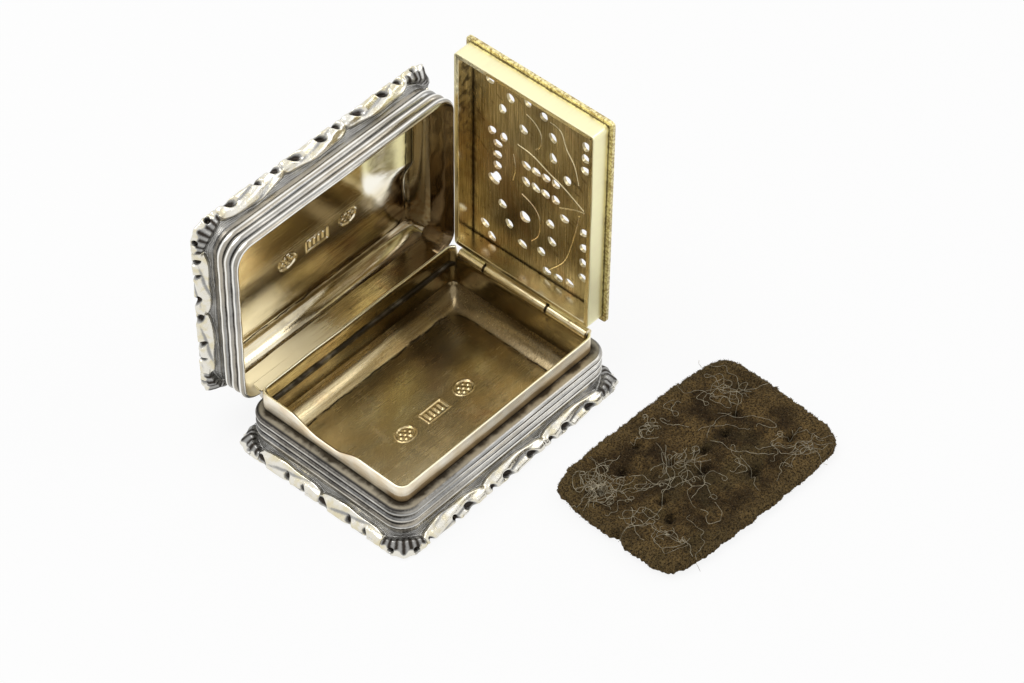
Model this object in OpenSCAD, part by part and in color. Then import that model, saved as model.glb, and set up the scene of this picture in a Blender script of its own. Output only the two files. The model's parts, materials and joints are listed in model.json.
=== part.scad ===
// Silver vinaigrette: a small hinged scent box with reeded walls, cast leaf borders, a gilt inside,
// a hinged pierced grille and a loose sponge. It is drawn with lid and grille standing open and the
// sponge on the table beside it. Millimetres. The origin is the centre of the base's underside,
// +X points to the grille's hinge, +Y to the lid's hinge and +Z up.

/* [Box] */
// Length over the reeds
box_length = 40; // [36:0.5:46]
// Width over the reeds
box_width = 27.9; // [25:0.1:32]
// Corner radius over the reeds
corner_radius = 3; // [2.6:0.1:4]
// Height of the base from the table to its ledge
base_height = 6.75; // [6.5:0.05:8]
// Height of the lid above the ledge
lid_height = 6.8; // [6.5:0.05:8]
// Thickness of the bottom and top sheets
sheet = 0.6; // [0.4:0.05:0.8]
// Size of the coves inside, between a sheet and what stands on it
cove = 2.4; // [1.5:0.1:2.6]

/* [Reeded wall] */
// Number of reeds up the wall
reed_count = 3; // [2:1:3]
// Height of one reed
reed_pitch = 1.27; // [1:0.01:1.35]
// How far a reed stands out from the wall strip
reed_depth = 0.4; // [0.3:0.02:0.5]
// Thickness of the wall strip behind the reeds
wall_sheet = 0.4; // [0.3:0.02:0.5]
// Gap between the ledge and the closed lid's edge
lid_gap = 0.05; // [0.02:0.01:0.1]

/* [Bezel] */
// Ledge from the outside of the reeds in to the bezel
ledge_width = 1.6; // [1.5:0.02:1.8]
// Thickness of the turned-in ledge
ledge_sheet = 0.6; // [0.4:0.05:0.8]
// Height of the bezel above the ledge
bezel_rise = 2.9; // [2.4:0.1:3.4]
// Thickness of the bezel strip
bezel_sheet = 0.4; // [0.3:0.02:0.5]
// Length of the thumb cut-away in the bezel's end
thumb_length = 12.6; // [8:0.2:16]
// Depth of the thumb cut-away
thumb_depth = 1.3; // [0.6:0.1:1.8]
// Length of each sloping end of the thumb cut-away
thumb_slope = 1.8; // [0.8:0.1:3]

/* [Cast border] */
// Height of the border strip
border_height = 2.3; // [1.8:0.05:2.5]
// How far the strip stands out past the reeds
border_reach = 1.6; // [1.2:0.05:2]
// Height of the strip's upright outer edge
border_lip = 0.8; // [0.5:0.05:1]
// How far the strip's top edge stands out past the reeds
border_crest = 0.2; // [0.1:0.05:0.5]
// Spacing of the leaf bosses
leaf_pitch = 4.7; // [4:0.1:6]
// Radius of a leaf boss
leaf_radius = 1.05; // [0.8:0.01:1.1]
// How far a boss stands out past the strip
leaf_proud = 0.2; // [0.1:0.05:0.4]

/* [Lid hinge] */
// Number of tubes along the back edge
lid_tubes = 7; // [5:2:9]
// Distance from the round corners to the ends of the row of tubes
lid_hinge_inset = 0.2; // [0.1:0.1:3]
// Outside radius of the tubes
lid_tube_radius = 0.72; // [0.65:0.01:0.78]
// How far the hinge line stands out past the reeds
lid_hinge_reach = 0.1; // [0.1:0.05:0.4]
// Height of the channelled bearer strips
bearer_height = 1.6; // [1.3:0.05:2]

/* [Grille] */
// Height of the tray from its open edge to the top of its plate
tray_height = 3.35; // [2.8:0.05:3.6]
// Thickness of the tray's wall strip
tray_sheet = 0.4; // [0.3:0.02:0.5]
// Thickness of the pierced plate
plate_sheet = 0.45; // [0.35:0.05:0.6]
// Corner radius of the tray
tray_radius = 0.6; // [0.5:0.05:0.8]
// Gap between the closed tray and the bezel
tray_clearance = 0.25; // [0.2:0.05:0.5]
// How far the plate's margin stands out past the tray
flange_width = 0.65; // [0.4:0.05:0.8]
// Depth of the tray's open edge below the hinge line, when closed
tray_sink = 0.6; // [0.3:0.05:0.8]
// Distance from the hinge line to the tray's near wall
tray_setback = 1.75; // [1.4:0.05:2.2]
// Radius of the small piercings
pierce_radius = 0.7; // [0.4:0.02:0.7]
// Radius of the large piercings
pierce_large = 0.9; // [0.6:0.02:0.9]

/* [Grille hinge] */
// Depth of the hinge line below the top of the bezel
grille_hinge_drop = 0.65; // [0.5:0.05:0.9]
// Length of the row of tubes
grille_hinge_length = 22.4; // [18:0.2:22.4]
// Length of the grille's own tube
grille_tube_length = 11.05; // [8:0.05:13]
// Distance of the grille's tube from the middle of the row
grille_tube_shift = 1.2; // [-2:0.1:2]
// Outside radius of the tubes
grille_tube_radius = 0.75; // [0.65:0.01:0.78]
// Thickness of the leaf between tube and tray
leaf_sheet = 0.4; // [0.3:0.05:0.5]

/* [Hinge fits] */
// Radius of the hinge wires
pin_radius = 0.35; // [0.25:0.01:0.4]
// Radial clearance of a wire in a tube that turns on it
pin_clearance = 0.03; // [0.02:0.01:0.06]
// Clearance between a tube and what turns past it
tube_clearance = 0.06; // [0.04:0.01:0.1]

/* [Sponge] */
// Length of the sponge
sponge_length = 32.9; // [24:0.1:34]
// Width of the sponge
sponge_width = 21.9; // [16:0.1:23]
// Thickness of the sponge at its middle
sponge_thickness = 2.5; // [2:0.1:4]
// How far the middle stands above the rim of the top
sponge_crown = 0.3; // [0.2:0.1:0.8]
// Rounding of the sponge's edges
sponge_edge = 0.9; // [0.6:0.1:1]
// Clear distance between the box and the sponge
sponge_gap = 5.35; // [4:0.05:20]
// Distance of the sponge's middle along the box from the origin
sponge_offset = 16.4; // [0:0.05:20]
// Turn of the sponge on the table, in degrees
sponge_turn = -3; // [-5:0.5:5]

/* [Hidden] */
$fn = 72;

// Opening angles as drawn
lid_open = 90;
grille_open = 90;

// Finishes
silver = [0.76, 0.75, 0.72];
gilt = [0.76, 0.64, 0.34];
sponge_brown = [0.32, 0.24, 0.13];

// Overshoot of a cut past the metal that it removes
past = 1;

// Wall: a reed is an arc of this radius across one pitch
wall_depth = reed_depth + wall_sheet;
reed_radius = (pow(reed_pitch / 2, 2) + pow(reed_depth, 2)) / (2 * reed_depth);
box_top = base_height + lid_height;

// Bezel
bezel_top = base_height + bezel_rise;
bezel_inside_length = box_length - 2 * (ledge_width + bezel_sheet);
bezel_inside_width = box_width - 2 * (ledge_width + bezel_sheet);

// Lid hinge: its line runs just outside the back face, on the parting line
lid_axis_y = box_width / 2 + lid_hinge_reach;
lid_axis_z = base_height + lid_gap / 2;
lid_hinge_length = box_length - 2 * (corner_radius + lid_hinge_inset);
lid_tube_pitch = lid_hinge_length / lid_tubes;

// Grille hinge: its line lies over the middle of the bezel's end
grille_axis_x = box_length / 2 - ledge_width - bezel_sheet / 2;
grille_axis_z = bezel_top - grille_hinge_drop;
grille_tube_start = grille_tube_shift - grille_tube_length / 2;
grille_tube_end = grille_tube_shift + grille_tube_length / 2;
grille_row_end = grille_hinge_length / 2;

// Tray, closed
tray_near_x = grille_axis_x - tray_setback;
tray_far_x = tray_clearance - bezel_inside_length / 2;
tray_length = tray_near_x - tray_far_x;
tray_width = bezel_inside_width - 2 * tray_clearance;
tray_middle_x = (tray_near_x + tray_far_x) / 2;
tray_edge_z = grille_axis_z - tray_sink;
plate_z = tray_edge_z + tray_height - plate_sheet;

// Piercings as shares of the tray's clear half length and half width, measured from its middle,
// towards the far end and towards the lid
pierced_centre = [for (row = [-0.08, 0.09], column = [-0.28 : 0.15 : 0.18]) [row, column]];
pierced_columns = concat(
    [for (row = [-0.21 : 0.115 : 0.15]) [row, 0.61]],
    [for (column = [0.52, 0.7]) [0.24, column]],
    [for (row = [-0.73 : 0.163 : -0.23]) [row, -0.72]],
    [for (row = [0.42 : 0.125 : 0.68]) [row, -0.71]]
);
pierced_sprigs = [
    [0.76, 0.73], [0.69, 0.42], [0.76, 0.16], [0.53, 0.54], [0.71, -0.08], [0.45, 0.22],
    [0.55, -0.22], [0.34, -0.23], [0.2, -0.45],
    [-0.48, 0.53], [-0.81, 0.8], [-0.91, 0.69], [-0.65, 0.42], [-0.37, -0.21], [-0.22, -0.42],
    [-0.78, 0.21], [-0.55, -0.24], [-0.73, -0.08],
    [-0.91, -0.17], [-0.9, -0.35], [-0.88, -0.52]
];
pierced_large = [[-0.47, 0.18], [-0.26, 0.66]];

// Sponge outline: a superellipse, with points round each ring and rings from edge to middle
sponge_power = 0.16;
sponge_points = 40;
sponge_edge_steps = 4;
sponge_crown_steps = 3;
sponge_y = -(box_width / 2 + border_reach + leaf_proud + sponge_gap + sponge_width / 2);

// Moves a closed-lid shape to the drawn opening angle
module on_lid() {
    translate([0, lid_axis_y, lid_axis_z]) rotate([-lid_open, 0, 0])
        translate([0, -lid_axis_y, -lid_axis_z]) children();
}

// Moves a closed-grille shape to the drawn opening angle
module on_grille() {
    translate([grille_axis_x, 0, grille_axis_z]) rotate([0, grille_open, 0])
        translate([-grille_axis_x, 0, -grille_axis_z]) children();
}

// A flat plate with round corners, its underside at zero
module round_plate(length, width, radius, thickness) {
    translate([-length / 2 + radius, -width / 2, 0]) cube([length - 2 * radius, width, thickness]);
    translate([-length / 2, -width / 2 + radius, 0]) cube([length, width - 2 * radius, thickness]);
    for (x = [-1, 1], y = [-1, 1])
        translate([x * (length / 2 - radius), y * (width / 2 - radius), 0])
            cylinder(r = radius, h = thickness);
}

// A straight run of a flat section along the back: section x points out, section y up
module straight_run(run, out) {
    translate([-run / 2, out, 0]) rotate([90, 0, 90]) linear_extrude(run) children();
}

// A quarter turn of a section at the back right corner of a frame
module corner_run(length, width, radius) {
    translate([length / 2 - radius, width / 2 - radius, 0])
        rotate_extrude(angle = 90) translate([radius, 0]) children();
}

// A section carried once round a rectangle with round corners
module frame_of(length, width, radius) {
    for (turn = [0, 180]) rotate(turn) {
        straight_run(length - 2 * radius, width / 2) children();
        corner_run(length, width, radius) children();
        rotate(90) {
            straight_run(width - 2 * radius, length / 2) children();
            corner_run(width, length, radius) children();
        }
    }
}

// Section of a reeded wall that stands on the parting line
module wall_section(height) {
    translate([-wall_depth, 0]) square([wall_sheet, height]);
    intersection() {
        for (reed = [0 : reed_count - 1])
            translate([-reed_radius, (reed + 0.5) * reed_pitch]) circle(r = reed_radius);
        translate([-wall_depth, 0]) square([wall_depth, reed_count * reed_pitch]);
    }
}

// A reeded wall on the parting line, going up
module reeded_wall(height) {
    frame_of(box_length, box_width, corner_radius) wall_section(height);
}

// Section of a cove: x points out, y up. Its arc meets both faces at a small angle
module cove_section() {
    centre = 1.3 * cove;
    difference() {
        translate([-cove, 0]) square(cove);
        translate([-centre, centre]) circle(r = norm([centre - cove, centre]));
    }
}

// A cove round the inside of a rectangle with round corners
module cove_frame(length, width, radius) {
    intersection() {
        round_plate(length, width, radius, cove);
        for (turn = [0, 180]) rotate(turn) {
            straight_run(length, width / 2) cove_section();
            rotate(90) straight_run(width, length / 2) cove_section();
        }
    }
}

// A length of the lid hinge's line
module lid_hinge_round(radius, start, length) {
    translate([start, lid_axis_y, lid_axis_z]) rotate([0, 90, 0]) cylinder(r = radius, h = length);
}

// A length of the grille hinge's line
module grille_hinge_round(radius, start, end) {
    translate([grille_axis_x, start, grille_axis_z]) rotate([-90, 0, 0])
        cylinder(r = radius, h = end - start);
}

// What the hinge takes out of a wall's back edge: the room of a bearer strip, open towards the parting
// line, and of the row of tubes
module lid_hinge_room(bottom_z, top_z) {
    translate([-lid_hinge_length / 2, box_width / 2 - wall_depth, bottom_z])
        cube([lid_hinge_length, wall_depth + past, top_z - bottom_z]);
    lid_hinge_round(lid_tube_radius + tube_clearance, -lid_hinge_length / 2 - tube_clearance,
        lid_hinge_length + 2 * tube_clearance);
}

// The tubes of the lid's hinge: every second one, counted from first
module lid_hinge_tubes(first, bore) {
    for (tube = [first : 2 : lid_tubes - 1]) {
        start = (tube - lid_tubes / 2) * lid_tube_pitch + tube_clearance / 2;
        difference() {
            lid_hinge_round(lid_tube_radius, start, lid_tube_pitch - tube_clearance);
            lid_hinge_round(bore, start - past, lid_tube_pitch + 2 * past);
        }
    }
}

// The channels that the tubes lie in: a snug one for its own tubes, an easy one for the others
module lid_hinge_channels(own) {
    for (tube = [0 : lid_tubes - 1]) {
        easing = tube % 2 == own ? 0 : tube_clearance;
        start = (tube - lid_tubes / 2) * lid_tube_pitch;
        lid_hinge_round(lid_tube_radius + easing, start, lid_tube_pitch);
    }
}

// A channelled bearer strip as deep as the wall that it is let into
module hinge_bearer(bottom_z, own) {
    difference() {
        translate([-lid_hinge_length / 2, box_width / 2 - wall_depth, bottom_z])
            cube([lid_hinge_length, wall_depth, bearer_height]);
        lid_hinge_channels(own);
    }
}

// Section of a cast border strip: it stands on its flat foot against the wall
module border_section() {
    polygon([
        [-reed_depth, 0], [border_reach, 0], [border_reach, border_lip],
        [border_crest, border_height], [-reed_depth, border_height]
    ]);
}

// One round leaf boss on a border at the back
module leaf_boss(out) {
    translate([0, out + border_reach + leaf_proud - leaf_radius, border_height / 2]) sphere(r = leaf_radius);
}

// A straight border strip with its row of bosses
module border_run(run, out) {
    leaves = floor(run / leaf_pitch);
    straight_run(run, out) border_section();
    for (leaf = [0 : leaves - 1])
        translate([(leaf - (leaves - 1) / 2) * leaf_pitch, 0, 0]) leaf_boss(out);
}

// The back border strip, carried round both corners with a boss on each
module border_long() {
    border_run(box_length - 2 * corner_radius, box_width / 2);
    for (side = [0, 1]) mirror([side, 0, 0]) {
        corner_run(box_length, box_width, corner_radius) border_section();
        translate([box_length / 2 - corner_radius, box_width / 2 - corner_radius, 0])
            rotate(-45) leaf_boss(corner_radius);
    }
}

// The left border strip, between the ends of the long ones
module border_short() {
    rotate(90) border_run(box_width - 2 * corner_radius, box_length / 2);
}

// Turns a border of the base over onto the lid's top
module on_lid_top() {
    on_lid() translate([0, 0, box_top]) mirror([0, 0, 1]) children();
}

// Base

module base_plate() {
    color(silver)
        round_plate(box_length - 2 * reed_depth, box_width - 2 * reed_depth, corner_radius - reed_depth, sheet);
}

module base_wall() {
    color(silver) difference() {
        union() {
            translate([0, 0, base_height]) mirror([0, 0, 1]) reeded_wall(base_height - sheet);
            frame_of(box_length, box_width, corner_radius)
                translate([-ledge_width, base_height - ledge_sheet])
                    square([ledge_width - reed_depth, ledge_sheet]);
        }
        lid_hinge_room(base_height - bearer_height, base_height + past);
    }
}

module base_bezel() {
    color(gilt) difference() {
        union() {
            frame_of(box_length, box_width, corner_radius)
                translate([-ledge_width - bezel_sheet, sheet]) square([bezel_sheet, bezel_top - sheet]);
            translate([0, 0, sheet])
                cove_frame(bezel_inside_length, bezel_inside_width, corner_radius - ledge_width - bezel_sheet);
        }
        // Thumb cut-away
        translate([-box_length / 2, 0, bezel_top]) rotate([90, 0, 90])
            linear_extrude(box_length / 2 - corner_radius)
                polygon([
                    [-thumb_length / 2, 0], [thumb_slope - thumb_length / 2, -thumb_depth],
                    [thumb_length / 2 - thumb_slope, -thumb_depth], [thumb_length / 2, 0],
                    [thumb_length / 2, past], [-thumb_length / 2, past]
                ]);
        // Seat of the grille's hinge
        translate([grille_axis_x - past, -grille_row_end, grille_axis_z])
            cube([2 * past, grille_hinge_length, grille_hinge_drop + past]);
        grille_hinge_round(grille_tube_radius, -grille_row_end, grille_row_end);
        grille_hinge_round(grille_tube_radius + tube_clearance, grille_tube_start - tube_clearance,
            grille_tube_end + tube_clearance);
    }
}

module base_border_front() { color(silver) rotate(180) border_long(); }
module base_border_back() { color(silver) border_long(); }
module base_border_left() { color(silver) border_short(); }
module base_border_right() { color(silver) rotate(180) border_short(); }

module base_bearer() {
    color(silver) hinge_bearer(base_height - bearer_height, 0);
}

module base_knuckles() { color(silver) lid_hinge_tubes(0, pin_radius); }

module lid_pin() {
    color(silver) lid_hinge_round(pin_radius, -lid_hinge_length / 2, lid_hinge_length);
}

module grille_base_knuckles() {
    color(gilt) difference() {
        union() {
            grille_hinge_round(grille_tube_radius, -grille_row_end, grille_tube_start - tube_clearance);
            grille_hinge_round(grille_tube_radius, grille_tube_end + tube_clearance, grille_row_end);
        }
        grille_hinge_round(pin_radius, -grille_row_end - past, grille_row_end + past);
    }
}

module grille_pin() {
    color(silver) grille_hinge_round(pin_radius, -grille_row_end, grille_row_end);
}

// Lid

module lid_plate() {
    color(silver) on_lid() translate([0, 0, box_top - sheet])
        round_plate(box_length - 2 * reed_depth, box_width - 2 * reed_depth, corner_radius - reed_depth, sheet);
}

module lid_wall() {
    edge_z = base_height + lid_gap;
    color(silver) on_lid() difference() {
        union() {
            translate([0, 0, edge_z]) reeded_wall(box_top - sheet - edge_z);
            translate([0, 0, box_top - sheet]) mirror([0, 0, 1])
                cove_frame(box_length - 2 * wall_depth, box_width - 2 * wall_depth, corner_radius - wall_depth);
        }
        lid_hinge_room(edge_z - past, edge_z + bearer_height);
    }
}

module lid_border_front() { color(silver) on_lid_top() rotate(180) border_long(); }
module lid_border_back() { color(silver) on_lid_top() border_long(); }
module lid_border_left() { color(silver) on_lid_top() border_short(); }
module lid_border_right() { color(silver) on_lid_top() rotate(180) border_short(); }

module lid_bearer() {
    color(silver) on_lid() hinge_bearer(base_height + lid_gap, 1);
}

module lid_knuckles() { color(silver) on_lid() lid_hinge_tubes(1, pin_radius + pin_clearance); }

// Grille

module pierce(places, radius) {
    for (place = places)
        translate([
            -place[0] * (tray_length / 2 - tray_sheet), place[1] * (tray_width / 2 - tray_sheet), -past
        ]) cylinder(r = radius, h = plate_sheet + 2 * past);
}

module grille_plate() {
    color(gilt) on_grille() translate([tray_middle_x, 0, plate_z]) difference() {
        round_plate(tray_length + 2 * flange_width, tray_width + 2 * flange_width, tray_radius, plate_sheet);
        pierce(concat(pierced_centre, pierced_columns, pierced_sprigs), pierce_radius);
        pierce(pierced_large, pierce_large);
    }
}

module grille_frame() {
    color(gilt) on_grille() translate([tray_middle_x, 0, tray_edge_z])
        frame_of(tray_length, tray_width, tray_radius)
            translate([-tray_sheet, 0]) square([tray_sheet, tray_height - plate_sheet]);
}

module grille_knuckle() {
    color(gilt) on_grille() difference() {
        union() {
            grille_hinge_round(grille_tube_radius, grille_tube_start, grille_tube_end);
            translate([tray_near_x, grille_tube_start, grille_axis_z - leaf_sheet / 2])
                cube([tray_setback, grille_tube_length, leaf_sheet]);
        }
        grille_hinge_round(pin_radius + pin_clearance, grille_tube_start - past, grille_tube_end + past);
    }
}

// Sponge

// A ring of the sponge's outline, drawn in from its edge and lifted
function rounded(share) = sign(share) * pow(abs(share), sponge_power);
function sponge_ring(inset, z) = [
    for (i = [0 : sponge_points - 1])
        let (turn = 360 * i / sponge_points)
        [
            (sponge_length / 2 - inset) * rounded(cos(turn)),
            (sponge_width / 2 - inset) * rounded(sin(turn)),
            z
        ]
];
sponge_rim = sponge_thickness - sponge_crown;
sponge_rings = concat(
    [for (s = [0 : sponge_edge_steps])
        let (a = 90 * s / sponge_edge_steps)
        sponge_ring(sponge_edge * (1 - sin(a)), sponge_edge * (1 - cos(a)))],
    [for (s = [0 : sponge_edge_steps])
        let (a = 90 * s / sponge_edge_steps)
        sponge_ring(sponge_edge * (1 - cos(a)), sponge_rim - sponge_edge * (1 - sin(a)))],
    [for (s = [1 : sponge_crown_steps])
        let (share = s / (sponge_crown_steps + 1))
        sponge_ring(
            sponge_edge + share * (sponge_width / 2 - sponge_edge),
            sponge_rim + sponge_crown * (1 - pow(1 - share, 2))
        )]
);

module sponge() {
    rings = len(sponge_rings);
    points = concat(
        [for (ring = sponge_rings, point = ring) point],
        [[0, 0, 0], [0, 0, sponge_thickness]]
    );
    below = rings * sponge_points;
    faces = concat(
        [for (i = [0 : sponge_points - 1]) [below, i, (i + 1) % sponge_points]],
        [for (r = [0 : rings - 2], i = [0 : sponge_points - 1])
            let (j = (i + 1) % sponge_points, a = r * sponge_points, b = a + sponge_points)
            each [[a + i, b + i, a + j], [a + j, b + i, b + j]]],
        [for (i = [0 : sponge_points - 1])
            let (a = (rings - 1) * sponge_points)
            [below + 1, a + (i + 1) % sponge_points, a + i]]
    );
    color(sponge_brown) translate([sponge_offset, sponge_y, 0]) rotate(sponge_turn)
        polyhedron(points, faces);
}

base_plate();
base_wall();
base_bezel();
base_border_front();
base_border_back();
base_border_left();
base_border_right();
base_bearer();
base_knuckles();
lid_pin();
grille_base_knuckles();
grille_pin();
lid_plate();
lid_wall();
lid_border_front();
lid_border_back();
lid_border_left();
lid_border_right();
lid_bearer();
lid_knuckles();
grille_plate();
grille_frame();
grille_knuckle();
sponge();
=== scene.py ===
import json
import math

import bmesh
import bpy
import numpy as np
from mathutils import Matrix, Vector, noise


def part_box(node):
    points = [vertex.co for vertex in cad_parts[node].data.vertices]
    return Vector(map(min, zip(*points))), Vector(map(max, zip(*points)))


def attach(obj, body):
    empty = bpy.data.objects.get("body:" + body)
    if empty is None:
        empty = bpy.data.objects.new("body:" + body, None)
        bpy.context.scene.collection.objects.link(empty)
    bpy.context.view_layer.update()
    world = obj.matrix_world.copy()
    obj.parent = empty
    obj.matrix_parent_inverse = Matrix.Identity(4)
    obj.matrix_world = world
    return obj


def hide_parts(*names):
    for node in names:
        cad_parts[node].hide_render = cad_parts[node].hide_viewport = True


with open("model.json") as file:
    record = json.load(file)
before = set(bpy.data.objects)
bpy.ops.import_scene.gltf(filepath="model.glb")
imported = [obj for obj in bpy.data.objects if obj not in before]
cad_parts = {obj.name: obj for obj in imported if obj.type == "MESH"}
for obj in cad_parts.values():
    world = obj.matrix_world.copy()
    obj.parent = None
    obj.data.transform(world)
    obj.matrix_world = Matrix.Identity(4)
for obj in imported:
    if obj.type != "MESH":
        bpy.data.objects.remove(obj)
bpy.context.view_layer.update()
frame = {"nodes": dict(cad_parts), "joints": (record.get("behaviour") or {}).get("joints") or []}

# The view: the open box seen from above its front and its thumb end, through a long lens that
# stands about 48 centimetres away.
mm = 0.001
view_turn = math.radians(-48.441)
view_rise = math.radians(46.497)
view_roll = math.radians(0.661)
view_distance = 482.216 * mm
view_aside = 10.648 * mm
view_above = 5.223 * mm
view_height = 6.2 * mm
sensor_width = 36
lens_length = 130.206

scene = bpy.context.scene
scene.view_settings.view_transform = "Standard"
back = Vector((
    math.sin(view_turn) * math.cos(view_rise),
    -math.cos(view_turn) * math.cos(view_rise),
    math.sin(view_rise),
))
level = Vector((math.cos(view_turn), math.sin(view_turn), 0))
upright = back.cross(level)
right = math.cos(view_roll) * level + math.sin(view_roll) * upright
up = math.cos(view_roll) * upright - math.sin(view_roll) * level
stand = Vector((0, 0, view_height)) + view_distance * back + view_aside * right + view_above * up
camera = bpy.data.objects.new("camera", bpy.data.cameras.new("camera"))
camera.data.sensor_width = sensor_width
camera.data.lens = lens_length
camera.data.clip_start = 10 * mm
camera.data.clip_end = 10
camera.matrix_world = Matrix.Translation(stand) @ Matrix((right, up, back)).transposed().to_4x4()
scene.collection.objects.link(camera)
scene.camera = camera


# The bottom sheet. Rolled silver, gilt on the inside, hammered a little uneven, struck with three small
# blank punches and sweated to a cove that runs round its edge. The wall is soldered down on it.
class Wire:
    """One socket of a node tree. Operators on it add the nodes that they stand for."""

    def __init__(self, tree, socket=None):
        self.tree = tree
        self.socket = socket

    def node(self, kind, settings=(), values=(), output=0):
        """Adds a node: first its settings, then the values or links of its sockets."""
        made = self.tree.nodes.new(kind)
        for name, value in dict(settings).items():
            setattr(made, name, value)
        for name, value in dict(values).items():
            if isinstance(value, Wire):
                self.tree.links.new(value.socket, made.inputs[name])
            else:
                made.inputs[name].default_value = value
        return Wire(self.tree, made.outputs[output])

    def beside(self, output):
        """Another output of the node that this one comes from."""
        return Wire(self.tree, self.socket.node.outputs[output])

    def maths(self, operation, *values):
        return self.node("ShaderNodeMath", {"operation": operation}, enumerate(values))

    def __add__(self, other):
        return self.maths("ADD", self, other)

    __radd__ = __add__

    def __sub__(self, other):
        return self.maths("SUBTRACT", self, other)

    def __rsub__(self, other):
        return self.maths("SUBTRACT", other, self)

    def __mul__(self, other):
        return self.maths("MULTIPLY", self, other)

    __rmul__ = __mul__

    def __truediv__(self, other):
        return self.maths("DIVIDE", self, other)

    def __pow__(self, other):
        return self.maths("POWER", self, other)

    def __abs__(self):
        return self.maths("ABSOLUTE", self)

    def most(self, other):
        return self.maths("MAXIMUM", self, other)

    def least(self, other):
        return self.maths("MINIMUM", self, other)

    def rise(self, low, high):
        """0 at low and 1 at high, smooth between them."""
        settings = {"interpolation_type": "SMOOTHSTEP"}
        return self.node("ShaderNodeMapRange", settings, {"Value": self, "From Min": low, "From Max": high})

    def mix(self, first, second):
        """The first colour where this is 0, the second where it is 1."""
        return self.node("ShaderNodeMix", {"data_type": "RGBA"}, {0: self, 6: first, 7: second}, 2)

    def axis(self, index):
        """The x, y or z of a place."""
        return self.node("ShaderNodeSeparateXYZ", {}, {"Vector": self}, index)

    def noise(self, size, detail=3, stretch=(1, 1, 1), turn=(0, 0, 0), rough=0.55):
        """Cloudy noise from 0 to 1. Its features are about this size in millimetres, longer if stretched."""
        share = [1 / (size * mm * s) for s in stretch]
        turned = self.node("ShaderNodeMapping", {}, {"Vector": self, "Rotation": turn})
        place = self.node("ShaderNodeMapping", {}, {"Vector": turned, "Scale": share})
        values = {"Vector": place, "Scale": 1, "Detail": detail, "Roughness": rough}
        return self.node("ShaderNodeTexNoise", {}, values)


def finish_of(name, paint):
    """A material whose colour, roughness, metal share and relief come from paint(place on the piece)."""
    made = bpy.data.materials.new(name)
    made.use_nodes = True
    tree = made.node_tree
    shader = tree.nodes["Principled BSDF"]
    place = Wire(tree).node("ShaderNodeTexCoord", {}, {}, "Object")
    look = paint(place)
    for socket in ("Base Color", "Roughness", "Metallic"):
        if isinstance(look[socket], Wire):
            tree.links.new(look[socket].socket, shader.inputs[socket])
        else:
            shader.inputs[socket].default_value = look[socket]
    values = {"Height": look["Relief"], "Distance": look["Depth"], "Strength": 1}
    bump = place.node("ShaderNodeBump", {}, values)
    tree.links.new(bump.socket, shader.inputs["Normal"])
    return made


def coat(look, mask, colour):
    """Lays a colour over a look where the mask is 1."""
    look["Base Color"] = mask.mix(look["Base Color"], colour)


gilt_bright = (0.74, 0.64, 0.40, 1)
gilt_olive = (0.38, 0.32, 0.18, 1)
gilt_brown = (0.13, 0.086, 0.045, 1)
gilt_rubbed = (0.85, 0.73, 0.45, 1)
gilt_rust = (0.42, 0.2, 0.07, 1)
gilt_speck = (0.06, 0.04, 0.02, 1)
dirt = (0.03, 0.02, 0.01, 1)


def gilding(place, along=(1, 1, 1), browning=0.5):
    """Old gilding: gold worn to olive in clouds and browned in patches, with drawn-out polishing marks."""
    clouds = place.noise(7, 4, along)
    patches = place.noise(3.2, 5, along, (0.4, 0.9, 1.7))
    streaks = place.noise(0.25, 4, [1 + 25 * (s - 1) for s in along], rough=0.6)
    scratches = place.noise(0.12, 2, (1, 60, 60), (0.3, 0.5, 0.9))
    specks = place.noise(0.9, 5, along, (1.1, 0.2, 0.5), 0.65)
    drawn = place.noise(0.14, 3, [1 + 40 * (s - 1) for s in along], (0.02, 0.02, 0.03), 0.65)
    rust = place.noise(5, 4, along, (0.7, 0.1, 1.3)).rise(0.5, 0.66)
    brown = (patches * 0.65 + streaks * 0.35).rise(0.72 - 0.4 * browning, 0.9 - 0.3 * browning)
    look = {
        "Base Color": clouds.rise(0.35, 0.65).mix(gilt_bright, gilt_olive),
        "Roughness": 0.1 + brown * 0.12 + drawn * 0.12, "Metallic": 1,
        "Relief": streaks * 0.5 + scratches * 0.2 + specks * 0.3, "Depth": 0.018 * mm,
    }
    coat(look, brown, gilt_brown)
    coat(look, drawn.rise(0.5, 0.68) * 0.5, gilt_brown)
    coat(look, drawn.rise(0.5, 0.34) * 0.4, gilt_rubbed)
    coat(look, rust * 0.35, gilt_rust)
    coat(look, specks.rise(0.6, 0.68) * 0.6, gilt_speck)
    coat(look, specks.rise(0.38, 0.3) * 0.4, gilt_rubbed)
    return look


def rounded_corner(x, y, half_x, half_y, radius):
    """Draws the corners of a square grid in to round ones."""
    past_x = np.maximum(np.abs(x) - (half_x - radius), 0)
    past_y = np.maximum(np.abs(y) - (half_y - radius), 0)
    reach = np.hypot(past_x, past_y)
    in_corner = (past_x > 0) & (past_y > 0)
    share = np.where(in_corner, np.maximum(past_x, past_y) / np.maximum(reach, 1e-12), 1)
    return x - np.sign(x) * past_x * (1 - share), y - np.sign(y) * past_y * (1 - share)


def mesh_object(name, places, faces, smooth=True):
    """A piece from its points and faces, its normals turned outwards."""
    mesh = bpy.data.meshes.new(name)
    mesh.from_pydata([tuple(p) for p in places], [], [tuple(f) for f in faces])
    build = bmesh.new()
    build.from_mesh(mesh)
    bmesh.ops.recalc_face_normals(build, faces=build.faces)
    build.to_mesh(mesh)
    build.free()
    mesh.polygons.foreach_set("use_smooth", [smooth] * len(mesh.polygons))
    piece = bpy.data.objects.new(name, mesh)
    scene.collection.objects.link(piece)
    return piece


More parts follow.
